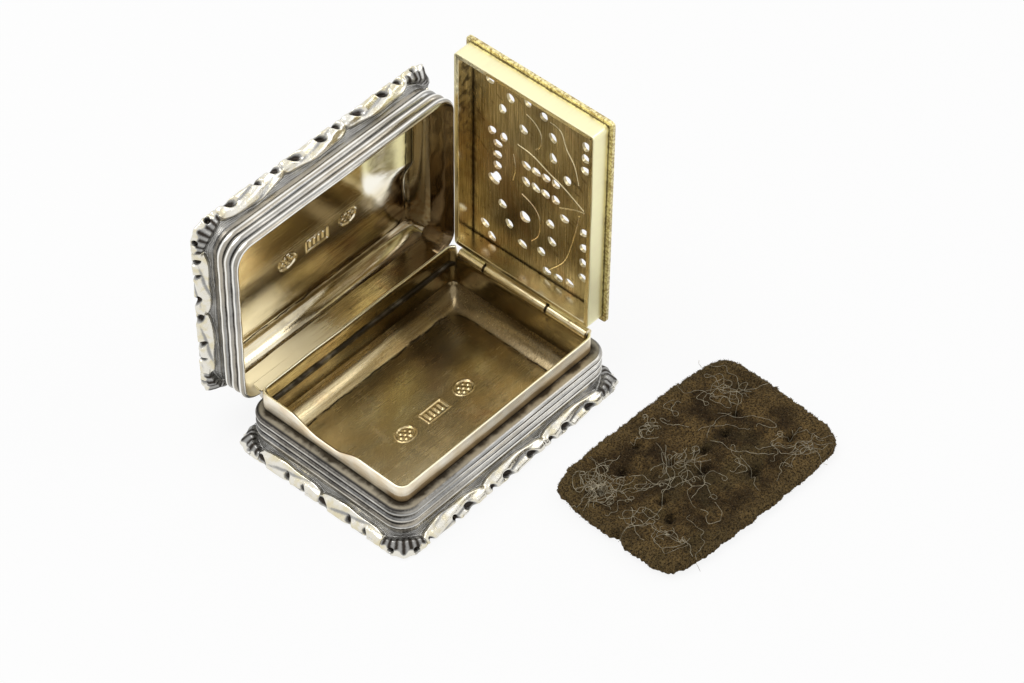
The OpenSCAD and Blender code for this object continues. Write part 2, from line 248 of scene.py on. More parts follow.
def sharpen(piece, angle):
    """Marks the edges that stay crisp on a smooth piece."""
    build = bmesh.new()
    build.from_mesh(piece.data)
    for edge in build.edges:
        edge.smooth = len(edge.link_faces) == 2 and edge.calc_face_angle() < angle
    build.to_mesh(piece.data)
    build.free()


def grid_faces(rows, columns, close_columns=False):
    """Quads over a grid of points, joined round in its second direction if asked."""
    wrap = columns if close_columns else columns - 1
    return [
        (r * columns + c, r * columns + (c + 1) % columns,
         (r + 1) * columns + (c + 1) % columns, (r + 1) * columns + c)
        for r in range(rows - 1) for c in range(wrap)
    ]


def worked_sheet(name, half_x, half_y, radius, thickness, lines_x, lines_y, relief):
    """A sheet with round corners whose upper face, at height zero, is lifted by relief(x, y)."""
    x, y = np.meshgrid(lines_x, lines_y)
    x, y = rounded_corner(x, y, half_x, half_y, radius)
    top = np.stack([x, y, relief(x, y)], -1)
    rows, columns = x.shape
    count = rows * columns
    index = np.arange(count).reshape(rows, columns)
    rim = np.concatenate([index[0, :-1], index[:-1, -1], index[-1, :0:-1], index[:0:-1, 0]])
    top = top.reshape(-1, 3)
    bottom = top[rim] * [1, 1, 0] - [0, 0, thickness]
    size = len(rim)
    faces = grid_faces(rows, columns)
    faces += [(rim[i], rim[(i + 1) % size], count + (i + 1) % size, count + i) for i in range(size)]
    faces.append(range(count, count + size))
    piece = mesh_object(name, np.concatenate([top, bottom]), faces)
    sharpen(piece, math.radians(40))
    return piece


def smooth_step(value):
    """0 up to 0 and 1 from 1 on, smooth between them."""
    value = np.clip(value, 0, 1)
    return value * value * (3 - 2 * value)


def uneven(x, y, size, seed):
    """Soft hand-worked unevenness from -1 to 1."""
    flat_x, flat_y = np.ravel(x) / size, np.ravel(y) / size
    made = [noise.noise(Vector((a, b, seed))) for a, b in zip(flat_x, flat_y)]
    return np.reshape(made, np.shape(x))


def layered(x, y, layers):
    """Unevenness in layers, each given by its size and its height in millimetres and by its seed."""
    return sum(uneven(x, y, size * mm, seed) * high * mm for size, high, seed in layers)


def pellet(x, y, radius):
    """A small round grain."""
    return np.exp(-(x ** 2 + y ** 2) / radius ** 2)


punch_rim = 0.07 * mm
punch_deep = 0.1 * mm
punch_grain = 0.15 * mm


def punch_mark(reach, rim_width, raised):
    """A sunk field within a reach of 1, with a raised rim round it and what stands up in it."""
    field = np.clip((1 - reach) / 0.1, 0, 1)
    rim = np.exp(-((reach - 1.03) / rim_width) ** 2)
    return punch_rim * rim - punch_deep * field + punch_grain * raised * field


def punch_oval(x, y):
    """A blank oval punch with a rosette of grains."""
    grains = pellet(x, y, 0.34 * mm)
    for turn in np.arange(6) * math.pi / 3:
        grains = grains + pellet(x - 0.85 * mm * np.cos(turn), y - 0.62 * mm * np.sin(turn), 0.22 * mm)
    return punch_mark(np.hypot(x / (1.5 * mm), y / (1.15 * mm)), 0.07, grains)


def punch_bar(x, y):
    """A blank oblong punch with a row of upright bars."""
    bars = sum(np.exp(-((x - step * 0.8 * mm) / (0.2 * mm)) ** 4) for step in (-1.5, -0.5, 0.5, 1.5))
    bars = bars * np.clip((0.68 * mm - np.abs(y)) / (0.12 * mm), 0, 1)
    return punch_mark(np.maximum(np.abs(x) / (1.95 * mm), np.abs(y) / (0.95 * mm)), 0.06, bars)


def sheet_lines(half, rim, fine_low, fine_high, coarse=0.3 * mm, fine=0.1 * mm):
    """Grid lines across a sheet, closer over the punches and up its cove, which ends at the rim."""
    up_cove = np.arange(0, cove + fine, cove_line)
    edge = np.array([half, half - cove_rim, rim + 0.3 * mm, rim + 0.12 * mm])
    flat = rim - cove - coarse
    return np.unique(np.concatenate([
        -edge, up_cove - rim, np.arange(-flat, fine_low, coarse), np.arange(fine_low, fine_high, fine),
        np.arange(fine_high, flat, coarse), rim - up_cove, edge,
    ]))


def inside_of(x, y, half_x, half_y, radius):
    """How far places lie inside a rectangle with round corners; less than zero outside it."""
    past_x, past_y = np.abs(x) - (half_x - radius), np.abs(y) - (half_y - radius)
    outside = np.hypot(np.maximum(past_x, 0), np.maximum(past_y, 0))
    return radius - outside - np.minimum(np.maximum(past_x, past_y), 0)


def cove_lift(x, y, half_x, half_y, radius):
    """Height of the cove: an arc from the rim down to the flat, and a hidden drop past the rim."""
    blend = 0.5 * mm
    gap = -blend * np.log(np.exp((np.abs(x) - half_x) / blend) + np.exp((np.abs(y) - half_y) / blend))
    centre = 1.3 * cove
    reach = math.hypot(centre - cove, centre)
    arc = centre - np.sqrt(reach ** 2 - (centre - np.clip(gap, 0, cove)) ** 2)
    return np.where(inside_of(x, y, half_x, half_y, radius) < -cove_rim, 0, arc)


plate_low, plate_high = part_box("base_plate")
sheet_thickness = plate_high.z - plate_low.z
sheet_half_x = plate_high.x
sheet_half_y = plate_high.y
sheet_radius = 2.6 * mm
cove = 2.4 * mm
cove_rim = 0.2 * mm
cove_line = 0.15 * mm
floor_half_x = 18 * mm
floor_half_y = 11.95 * mm
floor_radius = 1 * mm
floor_back = 0.7 * mm
seam_radius = 4.8 * mm
punch_places = (-5.2 * mm, 0.3 * mm, 6.0 * mm)
punch_reach = 2.1 * mm
wave_high, wave_size = 0.03 * mm, 9 * mm
blow_high, blow_size = 0.006 * mm, 2.5 * mm


def struck_relief(x, y, row, seed):
    """Planishing waves, the marks of single blows and a row of three punches."""
    lift = wave_high * uneven(x, y, wave_size, seed) + blow_high * uneven(x, y, blow_size, seed + 5)
    for place, punch in zip(punch_places, (punch_oval, punch_bar, punch_oval)):
        lift = lift + punch(x - place, y - row)
    return lift


def drawn_back(y):
    """Evens out the well, whose back was bent a little further out than its front."""
    return y - floor_back * smooth_step(y / (floor_half_y + floor_back))


def past_outline(across, along, half_x, half_y, radius):
    """How far a place lies outside a rectangle with round corners; less than zero inside it."""
    past_x, past_y = abs(across) - (half_x - radius), abs(along) - (half_y - radius)
    outside = (past_x.most(0) ** 2 + past_y.most(0) ** 2) ** 0.5
    return outside + past_x.most(past_y).least(0) - radius


def sheet_gilding(place, across, along, half_x, half_y, browning, dark, gold):
    """Gilding drawn out along the sheet, with an uneven dark seam where the flat meets the cove, and painted
    shade laid on where dark is high.
    """
    look = gilding(place, (3, 1, 1), browning)
    fresh = [gold * b + (1 - gold) * o for b, o in zip((0.98, 0.9, 0.7, 1), (0.5, 0.39, 0.2, 1))]
    coat(look, place.noise(2, 4, (3, 1, 1)).rise(0.7 + 0.4 * gold, 0.4 - 0.1 * gold), fresh)
    look["Roughness"] = look["Roughness"] * (1.5 - 1.1 * gold)
    hairs = place.noise(0.09, 2, (1, 30, 30), (0.2, 0.3, 0.9)).rise(0.55, 0.72)
    hairs = hairs.most(place.noise(0.09, 2, (30, 1, 30), (0.3, 0.2, 0.6)).rise(0.58, 0.75))
    coat(look, hairs * (0.45 - 0.3 * gold), (0.8, 0.68, 0.42, 1))
    inside = 0 - past_outline(across, along, half_x, half_y, seam_radius)
    wander = (place.noise(3, 3) - 0.5) * 1.1 * mm
    seam = abs(inside - cove - wander).rise(0.17 * mm, 0.05 * mm) * place.noise(2, 2).rise(0.36, 0.5)
    rubbed = inside.rise(cove, cove - 0.5 * mm) * place.noise(0.3, 3, (20, 1, 1)).rise(0.35, 0.6)
    coat(look, rubbed * 0.55, (0.82, 0.69, 0.43, 1))
    # Dark tarnish patches from the noise, plus painted shade wherever the dark mask is high.
    soot = dark + (place.noise(2.5, 5, (2, 1, 1)) - 0.5) * 0.9
    coat(look, soot.rise(0.35, 1.0) * 0.75, (0.09, 0.06, 0.03, 1))
    coat(look, seam * 0.9, dirt)
    return look


def silver_outside(look, place, outside):
    """Leaves the sheet's other face plain silver, dulled by handling."""
    worn = place.noise(6, 4).rise(0.2, 0.8).mix((0.84, 0.83, 0.79, 1), (0.66, 0.65, 0.61, 1))
    coat(look, outside, worn)
    look["Roughness"] = look["Roughness"] * (1 - outside) + outside * 0.24
    return look


base_punch_row = -0.4 * mm
base_lines, back_lines = (
    sheet_lines(sheet_half_y, rim, base_punch_row - punch_reach, base_punch_row + punch_reach)
    for rim in (floor_half_y, floor_half_y + floor_back)
)
base_floor = worked_sheet(
    "base_floor", sheet_half_x, sheet_half_y, sheet_radius, sheet_thickness,
    sheet_lines(sheet_half_x, floor_half_x, punch_places[0] - punch_reach, punch_places[2] + punch_reach),
    np.unique(np.concatenate([base_lines[base_lines < 0], back_lines[back_lines >= 0]])),
    lambda x, y: struck_relief(x, y, base_punch_row, 3.0)
    + cove_lift(x, drawn_back(y), floor_half_x, floor_half_y, floor_radius),
)
base_floor.data.transform(Matrix.Translation((0, 0, plate_high.z)))


def floor_finish(place):
    """Gilt inside, with painted shade under the hinge at the far end, and silver underneath."""
    across, along = place.axis(0), place.axis(1)
    # browned is painted shade: darker towards the back at the far end and along the grille's end.
    browned = (across.rise(0, 10 * mm) * along.rise(-4 * mm, 5 * mm)).most(across.rise(14 * mm, 16 * mm))
    even = along - along.rise(0, floor_half_y + floor_back) * floor_back
    look = sheet_gilding(place, across, even, floor_half_x, floor_half_y, 0.55, browned, 0)
    return silver_outside(look, place, place.axis(2).rise(0.2 * mm, 0.1 * mm))


base_floor.data.materials.append(finish_of("gilt_floor", floor_finish))
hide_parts("base_plate")
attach(base_floor, "base")

# The base wall. A strip of silver drawn with three reeds, bent round and soldered at the back, its
# upper edge turned in as the ledge that the lid rests on. Polish has left tarnish in the hollows, and each
# reed has a painted highlight along its crest and painted shade down its flanks.
wall_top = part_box("base_wall")[1].z
wall_half_x = 20 * mm
wall_half_y = 13.95 * mm
wall_radius = 3 * mm
reed_pitch = 1.27 * mm
reed_count = 3
silver_bright = (0.94, 0.92, 0.86, 1)
silver_grey = (0.35, 0.35, 0.34, 1)
silver_stained = (0.43, 0.39, 0.32, 1)
silver_black = (0.04, 0.037, 0.034, 1)


def old_silver(place, hollow, streak):
    """Silver polished bright where it stands proud, grey on its flanks and nearly black in its hollows; on
    the reeds the bright crest is partly a painted highlight and the grey flanks are painted shade.
    """
    clouds = place.noise(4, 4)
    lines = place.noise(0.16, 3, streak, rough=0.6)
    specks = place.noise(0.35, 3)
    dull = hollow + (clouds - 0.5) * 0.6 + (lines - 0.5) * 0.45
    tint = place.noise(0.5, 3, streak).rise(0.35, 0.65).mix(silver_grey, silver_stained)
    grey = dull.rise(0.0, 0.42).mix(silver_bright, tint)
    black = (dull + (specks - 0.5) * 0.3).rise(0.45, 1.0)
    return {
        "Base Color": black.mix(grey, silver_black),
        "Roughness": 0.14 + dull.rise(0, 1) * 0.2 + black * 0.2, "Metallic": 1,
        "Relief": lines * 0.6 + specks * 0.4, "Depth": 0.02 * mm,
    }


def reed_hollow(height):
    """From 0 along the crest of each reed to 1 between two; height counts from a hollow."""
    angle = height * (2 * math.pi / reed_pitch)
    low = angle.maths("COSINE", angle) * 0.5 + 0.5
    # The narrow bright band at each crest is a painted highlight and the grey flanks are painted shade; the
    # dark at the bottom of each hollow is tarnish.
    return low.rise(0.02, 0.2) * 0.48 + low.rise(0.8, 1.0) * 0.3


def reeded_silver(place):
    """The base wall: dark between the reeds and above the border, mottled brown on the ledge, with painted
    shade darkening its left end.
    """
    across, along = place.axis(0), place.axis(1)
    depth = past_outline(across, along, wall_half_x, wall_half_y, wall_radius)
    down = wall_top - place.axis(2)
    foot = down.rise((reed_count - 0.35) * reed_pitch, reed_count * reed_pitch) * 0.45
    # Painted shade: the wall is made darker towards its left end.
    left_end_shade = across.rise(6 * mm, -20 * mm) * 0.28
    rubbed = along.rise(-12 * mm, -13.5 * mm) * 0.4
    look = old_silver(place, reed_hollow(down).most(foot) * (1 - rubbed) + left_end_shade, (40, 40, 1))
    ledge = depth.rise(-0.3 * mm, -0.62 * mm)
    mottle = place.noise(0.9, 5, (2, 2, 1)) + (depth.rise(-0.5 * mm, -1.5 * mm) - 0.5) * 0.35
    coat(look, ledge, mottle.rise(0.3, 0.72).mix((0.36, 0.33, 0.265, 1), (0.055, 0.045, 0.032, 1)))
    look["Roughness"] = look["Roughness"] + ledge * 0.15
    return look


def dress(name, finish):
    """Gives its finish to a piece that keeps the mesh it came with."""
    kept = frame["nodes"][name].data.materials
    kept.clear()
    kept.append(finish)


dress("base_wall", finish_of("reeded_silver_base", reeded_silver))

# The bezel. A thin strip of silver-gilt bent round and soldered inside the wall, standing above the
# ledge. It was filed by hand, with a shallow dip for the thumb at one end, and cut down for the
# grille's hinge at the other.
def round_path(half_x, half_y, radius, step):
    """Points round a rectangle with round corners, clockwise from above, and the ways out from them."""
    places, outward = [], []
    turns = max(4, round(math.pi / 2 * radius / step))
    centres = [(1, 1), (1, -1), (-1, -1), (-1, 1)]
    for corner, (side_x, side_y) in enumerate(centres):
        centre = np.array([side_x * (half_x - radius), side_y * (half_y - radius)])
        for turn in range(turns + 1):
            angle = math.pi / 2 * (1 - corner - turn / turns)
            way = np.array([math.cos(angle), math.sin(angle)])
            places.append(centre + radius * way)
            outward.append(way)
        next_x, next_y = centres[(corner + 1) % 4]
        target = np.array([next_x * (half_x - radius), next_y * (half_y - radius)]) + radius * outward[-1]
        start = places[-1]
        parts = max(2, round(np.linalg.norm(target - start) / step))
        for part in range(1, parts):
            places.append(start + (target - start) * part / parts)
            outward.append(outward[-1])
    return np.array(places), np.array(outward)


def swept_ring(name, places, outward, sections):
    """A closed strip: sections[i] is the loop of (out, up) points carried at the path's point i."""
    rows, columns = sections.shape[:2]
    flat = places[:, None] + outward[:, None] * sections[..., :1]
    points = np.concatenate([flat, sections[..., 1:]], -1).reshape(-1, 3)
    faces = grid_faces(rows, columns, True)
    faces += [
        ((rows - 1) * columns + c, (rows - 1) * columns + (c + 1) % columns, (c + 1) % columns, c)
        for c in range(columns)
    ]
    return mesh_object(name, points, faces)


bezel_low, bezel_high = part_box("base_bezel")
bezel_sheet = 0.4 * mm
bezel_radius = 1.4 * mm
bezel_dip = 1.35 * mm
bezel_face = 0.18 * mm
bezel_crown = 0.1 * mm
hinge_row_end = 11.2 * mm
hinge_seat = 8.12 * mm
dip_begin, dip_end = -4.6 * mm, 7.3 * mm
dip_fall, dip_rise = 4.2 * mm, 4.8 * mm
seat_ramp = 0.3 * mm
filed = 0.06 * mm
bezel_bend, bezel_bend_size = 0.07 * mm, 6 * mm
bezel_path, bezel_out = round_path(bezel_high.x, bezel_high.y, bezel_radius, 0.3 * mm)
bezel_x, bezel_y = bezel_path[:, 0].copy(), bezel_path[:, 1].copy()
bezel_path[:, 1] += floor_back * smooth_step(bezel_y / bezel_high.y)
thumb_end = smooth_step((-bezel_x - bezel_high.x + 0.5 * mm) / (0.4 * mm))
dip = smooth_step((bezel_y - dip_begin) / dip_fall) * smooth_step((dip_end - bezel_y) / dip_rise)
seat = smooth_step((bezel_x - bezel_high.x + bezel_sheet) / seat_ramp)
seat = seat * smooth_step((hinge_row_end + seat_ramp - np.abs(bezel_y)) / seat_ramp)
bezel_top = bezel_high.z - bezel_dip * dip * thumb_end
bezel_top = bezel_top + filed * (uneven(bezel_x, bezel_y, 5 * mm, 1.5) - 0.4) * (1 - seat)
bezel_top = bezel_top + (hinge_seat - bezel_top) * seat
edge_round = np.array([(0, -0.1), (-0.05, -0.03), (-0.2, 0), (-0.35, -0.03), (-0.4, -0.1)]) * mm
levels = np.linspace(0, 1, 9)[:-1]
bezel_sections = []
for top, x, y in zip(bezel_top, bezel_x, bezel_y):
    foot = bezel_low.z
    rise = [(0, foot + (top - bezel_crown - foot) * level) for level in levels]
    fall = [(-bezel_sheet, height) for _, height in reversed(rise)]
    crown = [(out, top + up) for out, up in edge_round]
    loop = np.array(rise + crown + fall)
    bend = bezel_bend * noise.noise(Vector((x, y, 7 * mm)) / bezel_bend_size)
    loop[:, 0] += bend * (loop[:, 1] - foot) / (bezel_high.z - foot)
    bezel_sections.append(loop)
bezel = swept_ring("bezel", bezel_path, bezel_out, np.array(bezel_sections))
sharpen(bezel, math.radians(50))
gilt_pale = (1, 0.95, 0.83, 1)


def bezel_gilding(place):
    """Browned gilding inside, with painted shade low down and towards the hinge end; outside, pale where the
    lid has rubbed, with a dark line at the foot.
    """
    look = gilding(place, (1.6, 1.6, 1), 0.5)
    across, along, height = (place.axis(i) for i in range(3))
    along = along - along.rise(0, bezel_high.y + floor_back) * floor_back
    out = (abs(across) - (bezel_high.x - bezel_face)).most(abs(along) - (bezel_high.y - bezel_face))
    corner = ((abs(across) - (bezel_high.x - bezel_radius)).most(0) ** 2
              + (abs(along) - (bezel_high.y - bezel_radius)).most(0) ** 2) ** 0.5
    out = out.most(corner - (bezel_radius - bezel_face)).rise(-0.02 * mm, 0.03 * mm)
    rubbed = place.noise(0.3, 3, (12, 12, 1)) * 0.25 + place.noise(3, 3) * 0.6
    pale = rubbed.rise(0.25, 0.6).mix(gilt_pale, (0.86, 0.72, 0.5, 1))
    stained = height.rise(wall_top + 1.5 * mm, wall_top + 0.8 * mm) * 0.7
    stained = (stained + place.noise(0.35, 4, (14, 14, 1)) - 0.5).rise(0.05, 0.6)
    stained = stained * along.rise(-8.5 * mm, -10.5 * mm)
    pale = (stained * 0.85).mix(pale, (0.42, 0.28, 0.12, 1))
    edge = height.rise(bezel_high.z - 0.18 * mm, bezel_high.z - 0.05 * mm)
    foot = height.rise(wall_top + 0.45 * mm, wall_top + 0.05 * mm)
    # Painted shade: darker low down inside the bezel and towards the hinge end, mixed with noise patches of
    # tarnish.
    low = height.rise(wall_top + 0.6 * mm, wall_top - 1.2 * mm).most(across.rise(-2 * mm, 12 * mm))
    soot = low * 0.8 + (place.noise(2, 5, (3, 1, 1)) - 0.5) * 0.8
    coat(look, soot.rise(0.3, 1.1) * 0.7, (0.1, 0.07, 0.035, 1))
    coat(look, out, pale)
    coat(look, edge * 0.8, (0.88, 0.83, 0.62, 1))
    coat(look, foot * out, (0.05, 0.035, 0.02, 1))
    look["Roughness"] = look["Roughness"] + out * 0.3 + foot * out * 0.1
    return look


bezel.data.materials.append(finish_of("bezel_gilding", bezel_gilding))
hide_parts("base_bezel")
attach(bezel, "base")

# The cast borders. Strips of cast and chased silver leaves soldered round the foot of the base and the
# top of the lid, mitred at the ends of the short sides, with a palmette bent round each corner. Polish
# has kept the leaves white and left the ground between them dark.
border_pitch_long = 34 / 3 * mm
border_pitch_short = 10.95 * mm
border_corner = 3 * mm
border_back = -0.4 * mm
border_columns = 40
leaf_rows, palmette_rows = 121, 61
ground_turn = np.array([0, 0.22, 0.48, 0.75, 0.9, 1])
ground_out = np.array([-0.4, -0.2, 0.1, 0.45, 0.55, 0.3]) * mm
ground_up = np.array([2.3, 1.7, 1.05, 0.5, 0.15, 0]) * mm
leaf_turn = np.array([0, 0.12, 0.3, 0.5, 0.7, 0.85, 0.95, 1])
leaf_out = np.array([-0.4, 0, 0.5, 1.02, 1.45, 1.64, 1.45, 1.05]) * mm
leaf_up = np.array([2.35, 2.45, 2.15, 1.5, 0.85, 0.42, 0.1, 0]) * mm


def strip_points(turn, lift):
    """Places (out, up) across a strip, between its ground and the crown of a leaf."""
    out = np.interp(turn, ground_turn, ground_out)
    up = np.interp(turn, ground_turn, ground_up)
    out = out + lift * (np.interp(turn, leaf_turn, leaf_out) - out)
    up = up + lift * (np.interp(turn, leaf_turn, leaf_up) - up)
    return out, np.maximum(up, 0)


def neck_lift(turn):
    """The tie where two leaves meet: only the outer part of the strip stands up."""
    return 0.78 * smooth_step((turn - 0.42) / 0.14) * smooth_step((1 - turn) / 0.07)


def ground_tarnish(share, turn):
    """Grey ground with darker lines left along it by the scraper."""
    return 0.42 + 0.42 * (0.5 + 0.5 * np.cos(turn * 75 + 3 * np.sin(9 * share))) ** 2


def drilled(along, lean):
    """A drilled pit, from 0 outside it to 1 at its bottom."""
    return np.exp(-(along ** 2 + lean ** 2) ** 1.8)


def leaf_form(share, turn, length, seed, pits):
    """Relief and tarnish of one leaf: a smooth scroll with a wavy inner edge and a few drilled pits."""
    inner = np.clip(1 - np.abs(2 * share) ** 2.4, 0, 1)
    wave = np.sin(2 * math.pi * share + seed) + 0.6 * np.sin(4 * math.pi * share + 2.3 * seed)
    upper = 0.38 - (0.27 + 0.05 * wave) * inner ** 0.7
    body = smooth_step((turn - upper) / 0.13) * smooth_step((1 - turn) / 0.06)
    across = np.clip((turn - upper) / (0.97 - upper), 0, 1)
    flutes = np.cos(2 * math.pi * (1.7 * across + 1.4 * share + 0.2 * seed))
    lift = body * (0.76 + 0.2 * np.sin(math.pi * across) + 0.1 * inner * flutes)
    tarnish = (1 - body) * ground_tarnish(share, turn) + body * 0.5 * inner * (0.5 - 0.5 * flutes) ** 4
    for step in range(pits):
        place = (step + 0.3) / pits - 0.5 + 0.06 * math.sin(seed * 3 + step * 2)
        width = (0.64 + 0.22 * math.sin(seed * 2 + step * 1.7)) * mm
        if length > 11 * mm and step == pits - 1:
            width = 0.95 * mm
        along = (share - place) * length / width
        lean = (turn - 0.76 - 0.05 * math.sin(seed + step) - 0.1 * along) / 0.17
        pit = drilled(along, lean)
        lip = np.exp(-((along - 1.3) ** 2 + (0.7 * lean) ** 2) * 2)
        lift = lift - 0.8 * pit + 0.1 * lip
        tarnish = np.maximum(tarnish - 0.25 * lip, 1.1 * pit)
    crease = np.exp(-((np.abs(share) - 0.5) * length / (0.22 * mm)) ** 2) * smooth_step((turn - 0.5) / 0.15)
    lift = lift * inner ** 0.25 + neck_lift(turn) * (1 - inner ** 0.25)
    return np.clip(lift - 0.18 * crease, 0, 1.14), np.clip(tarnish + 0.3 * crease, 0, 1)


def palmette_form(share, turn):
    """Relief and tarnish of a corner: a dark shell with a white scalloped rim and a pit at each side."""
    upper = 0.36 - 0.16 * np.cos(math.pi * share / 2)
    body = smooth_step((turn - upper) / 0.16) * smooth_step((1 - turn) / 0.07)
    lift = body * (0.9 + 0.1 * np.cos(4 * math.pi * share))
    dirty = smooth_step((0.74 + 0.05 * np.cos(4 * math.pi * share) - turn) / 0.12)
    shell = dirty * (0.72 + 0.25 * np.cos(7 * math.pi * share))
    tarnish = (1 - body) * ground_tarnish(share, turn) + body * shell
    for side in (-1, 1):
        along = (share - side * 0.5) / 0.12
        lean = (turn - 0.76 - 0.03 * side * along) / 0.14
        pit = drilled(along, lean)
        lift = lift - 0.8 * pit
        tarnish = np.maximum(tarnish, 1.1 * pit)
    ends = smooth_step((1 - np.abs(share)) / 0.2)
    lift = ends * lift + (1 - ends) * neck_lift(turn)
    return np.clip(lift, 0, 1.15), np.clip(tarnish, 0, 1)


def border_mesh(name, form, carry, rows):
    """A length of border: form(share, turn) is its relief and tarnish, carry(share, out, up) its place."""
    turns = np.linspace(0, 1, border_columns)
    shares = np.linspace(-0.5, 0.5, rows)
    share, turn = np.meshgrid(shares, turns, indexing="ij")
    raised, tarnish = form(share, turn)
    out, up = strip_points(turn, raised)
    out = np.concatenate([out, np.full((rows, 1), border_back)], 1)
    up = np.concatenate([up, np.zeros((rows, 1))], 1)
    tarnish = np.concatenate([tarnish, np.ones((rows, 1))], 1)
    points = carry(shares[:, None] + 0 * out, out, up).reshape(-1, 3)
    piece = mesh_object(name, points, grid_faces(rows, border_columns + 1, True))
    patina = piece.data.attributes.new("patina", "FLOAT", "POINT")
    patina.data.foreach_set("value", tarnish.ravel())
    scene.collection.objects.unlink(piece)
    return piece


def straight_carry(length):
    """Carries a length straight along a strip."""
    return lambda share, out, up: np.stack([out, -up, share * length], -1)


def corner_carry(side):
    """Bends a length round a corner, on from the end of a strip or back from its beginning."""
    def carry(share, out, up):
        angle = math.pi / 2 * (share + 0.5)
        reach = border_corner + out + 0.4 * np.maximum(out, 0) * np.cos(math.pi * share) ** 2
        return np.stack([reach * np.cos(angle) - border_corner, -up, side * reach * np.sin(angle)], -1)
    return carry


def leaf_set(name, length, pits, seeds):
    """A few leaves of one length, each a little different, to pick from along a strip."""
    made = bpy.data.collections.new(name)
    for seed in seeds:
        made.objects.link(border_mesh(
            f"{name}_{seed}", lambda share, turn: leaf_form(share, turn, length, seed, pits),
            straight_carry(length), leaf_rows,
        ))
    return made


long_leaves = leaf_set("long_leaf", border_pitch_long, 3, (1, 2, 3))
short_leaves = leaf_set("short_leaf", border_pitch_short, 3, (4, 5))
palmette_after, palmette_before = (
    border_mesh(name, lambda share, turn: palmette_form(2 * share, turn), corner_carry(side), palmette_rows)
    for name, side in (("palmette_after", 1), ("palmette_before", -1))
)


def named_tree(name, kinds):
    """A geometry tree with these named inputs, and a function that gives the wire of each of them."""
    tree = bpy.data.node_groups.new(name, "GeometryNodeTree")
    tree.interface.new_socket("Geometry", in_out="OUTPUT", socket_type="NodeSocketGeometry")
    for label, kind in kinds.items():
        tree.interface.new_socket(label, in_out="INPUT", socket_type=f"NodeSocket{kind}")
    sockets = tree.nodes.new("NodeGroupInput").outputs
    return tree, lambda label: Wire(tree, sockets[label])


def end_tree(made, finish):
    """Ends a tree: what was made becomes real and takes its finish."""
    real = made.node("GeometryNodeRealizeInstances", {}, {0: made})
    finished = made.node("GeometryNodeSetMaterial", {}, {0: real, 2: finish})
    made.tree.links.new(finished.socket, made.tree.nodes.new("NodeGroupOutput").inputs[0])


border_tree, given = named_tree("cast_border", {
    "Geometry": "Geometry", "Leaves": "Collection", "Leaf Count": "Int", "Half Leaf": "Float",
    "Corner Before": "Object", "Corner After": "Object", "Corners": "Bool", "Seed": "Int",
    "Finish": "Material",
})
strip = Wire(border_tree)
path = strip.node("GeometryNodeMeshToCurve", {}, {0: given("Geometry")})
ends = strip.node("GeometryNodeCurveToPoints", {"mode": "EVALUATED"}, {0: path})
line = strip.node("GeometryNodeCurveLength", {}, {0: path})
middle = strip.node("GeometryNodeTrimCurve", {"mode": "LENGTH"}, {
    0: path, 4: given("Half Leaf"), 5: line - given("Half Leaf"),
})
spots = strip.node("GeometryNodeCurveToPoints", {"mode": "COUNT"}, {0: middle, 1: given("Leaf Count")})
choices = strip.node("GeometryNodeCollectionInfo", {}, {0: given("Leaves"), 1: True, 2: True})
choice = strip.node("FunctionNodeRandomValue", {"data_type": "INT"}, {4: 0, 5: 8, 8: given("Seed")}, 2)
leaves = strip.node("GeometryNodeInstanceOnPoints", {}, {
    0: spots, 2: choices, 3: True, 4: choice, 5: spots.beside("Rotation"),
})
index = strip.node("GeometryNodeInputIndex")
pieces = strip.node("GeometryNodeJoinGeometry", {}, {0: leaves})
same_number = {"data_type": "INT", "operation": "EQUAL"}
for number, label in enumerate(("Corner Before", "Corner After")):
    at_end = strip.node("FunctionNodeCompare", same_number, {2: index, 3: number})
    wanted = strip.node("FunctionNodeBooleanMath", {"operation": "AND"}, {0: at_end, 1: given("Corners")})
    corner = strip.node("GeometryNodeObjectInfo", {}, {0: given(label)}, "Geometry")
    placed = strip.node("GeometryNodeInstanceOnPoints", {}, {
        0: ends, 1: wanted, 2: corner, 5: ends.beside("Rotation"),
    })
    border_tree.links.new(placed.socket, pieces.socket.node.inputs[0])
end_tree(pieces, given("Finish"))


def plain_mesh(name, holder, weld):
    """Turns an evaluated object into a plain mesh piece, its doubles merged and its ends closed."""
    bpy.context.view_layer.update()
    ready = holder.evaluated_get(bpy.context.evaluated_depsgraph_get())
    mesh = bpy.data.meshes.new_from_object(ready)
    bpy.data.objects.remove(holder)
    build = bmesh.new()
    build.from_mesh(mesh)
    bmesh.ops.remove_doubles(build, verts=build.verts, dist=weld)
    bmesh.ops.holes_fill(build, edges=[e for e in build.edges if e.is_boundary], sides=0)
    bmesh.ops.recalc_face_normals(build, faces=build.faces)
    build.to_mesh(mesh)
    build.free()
    piece = bpy.data.objects.new(name, mesh)
    piece.data.name = name
    scene.collection.objects.link(piece)
    return piece


def grown(name, mesh, tree, weld, values):
    """Runs a tree on a mesh, with values for its named inputs, and keeps the result as a plain mesh."""
    holder = bpy.data.objects.new(name, mesh)
    scene.collection.objects.link(holder)
    maker = holder.modifiers.new(tree.name, "NODES")
    maker.node_group = tree
    for socket in tree.interface.items_tree:
        if socket.name in values:
            maker[socket.identifier] = values[socket.name]
    return plain_mesh(name, holder, weld)


silver_white = (0.8, 0.77, 0.69, 1)


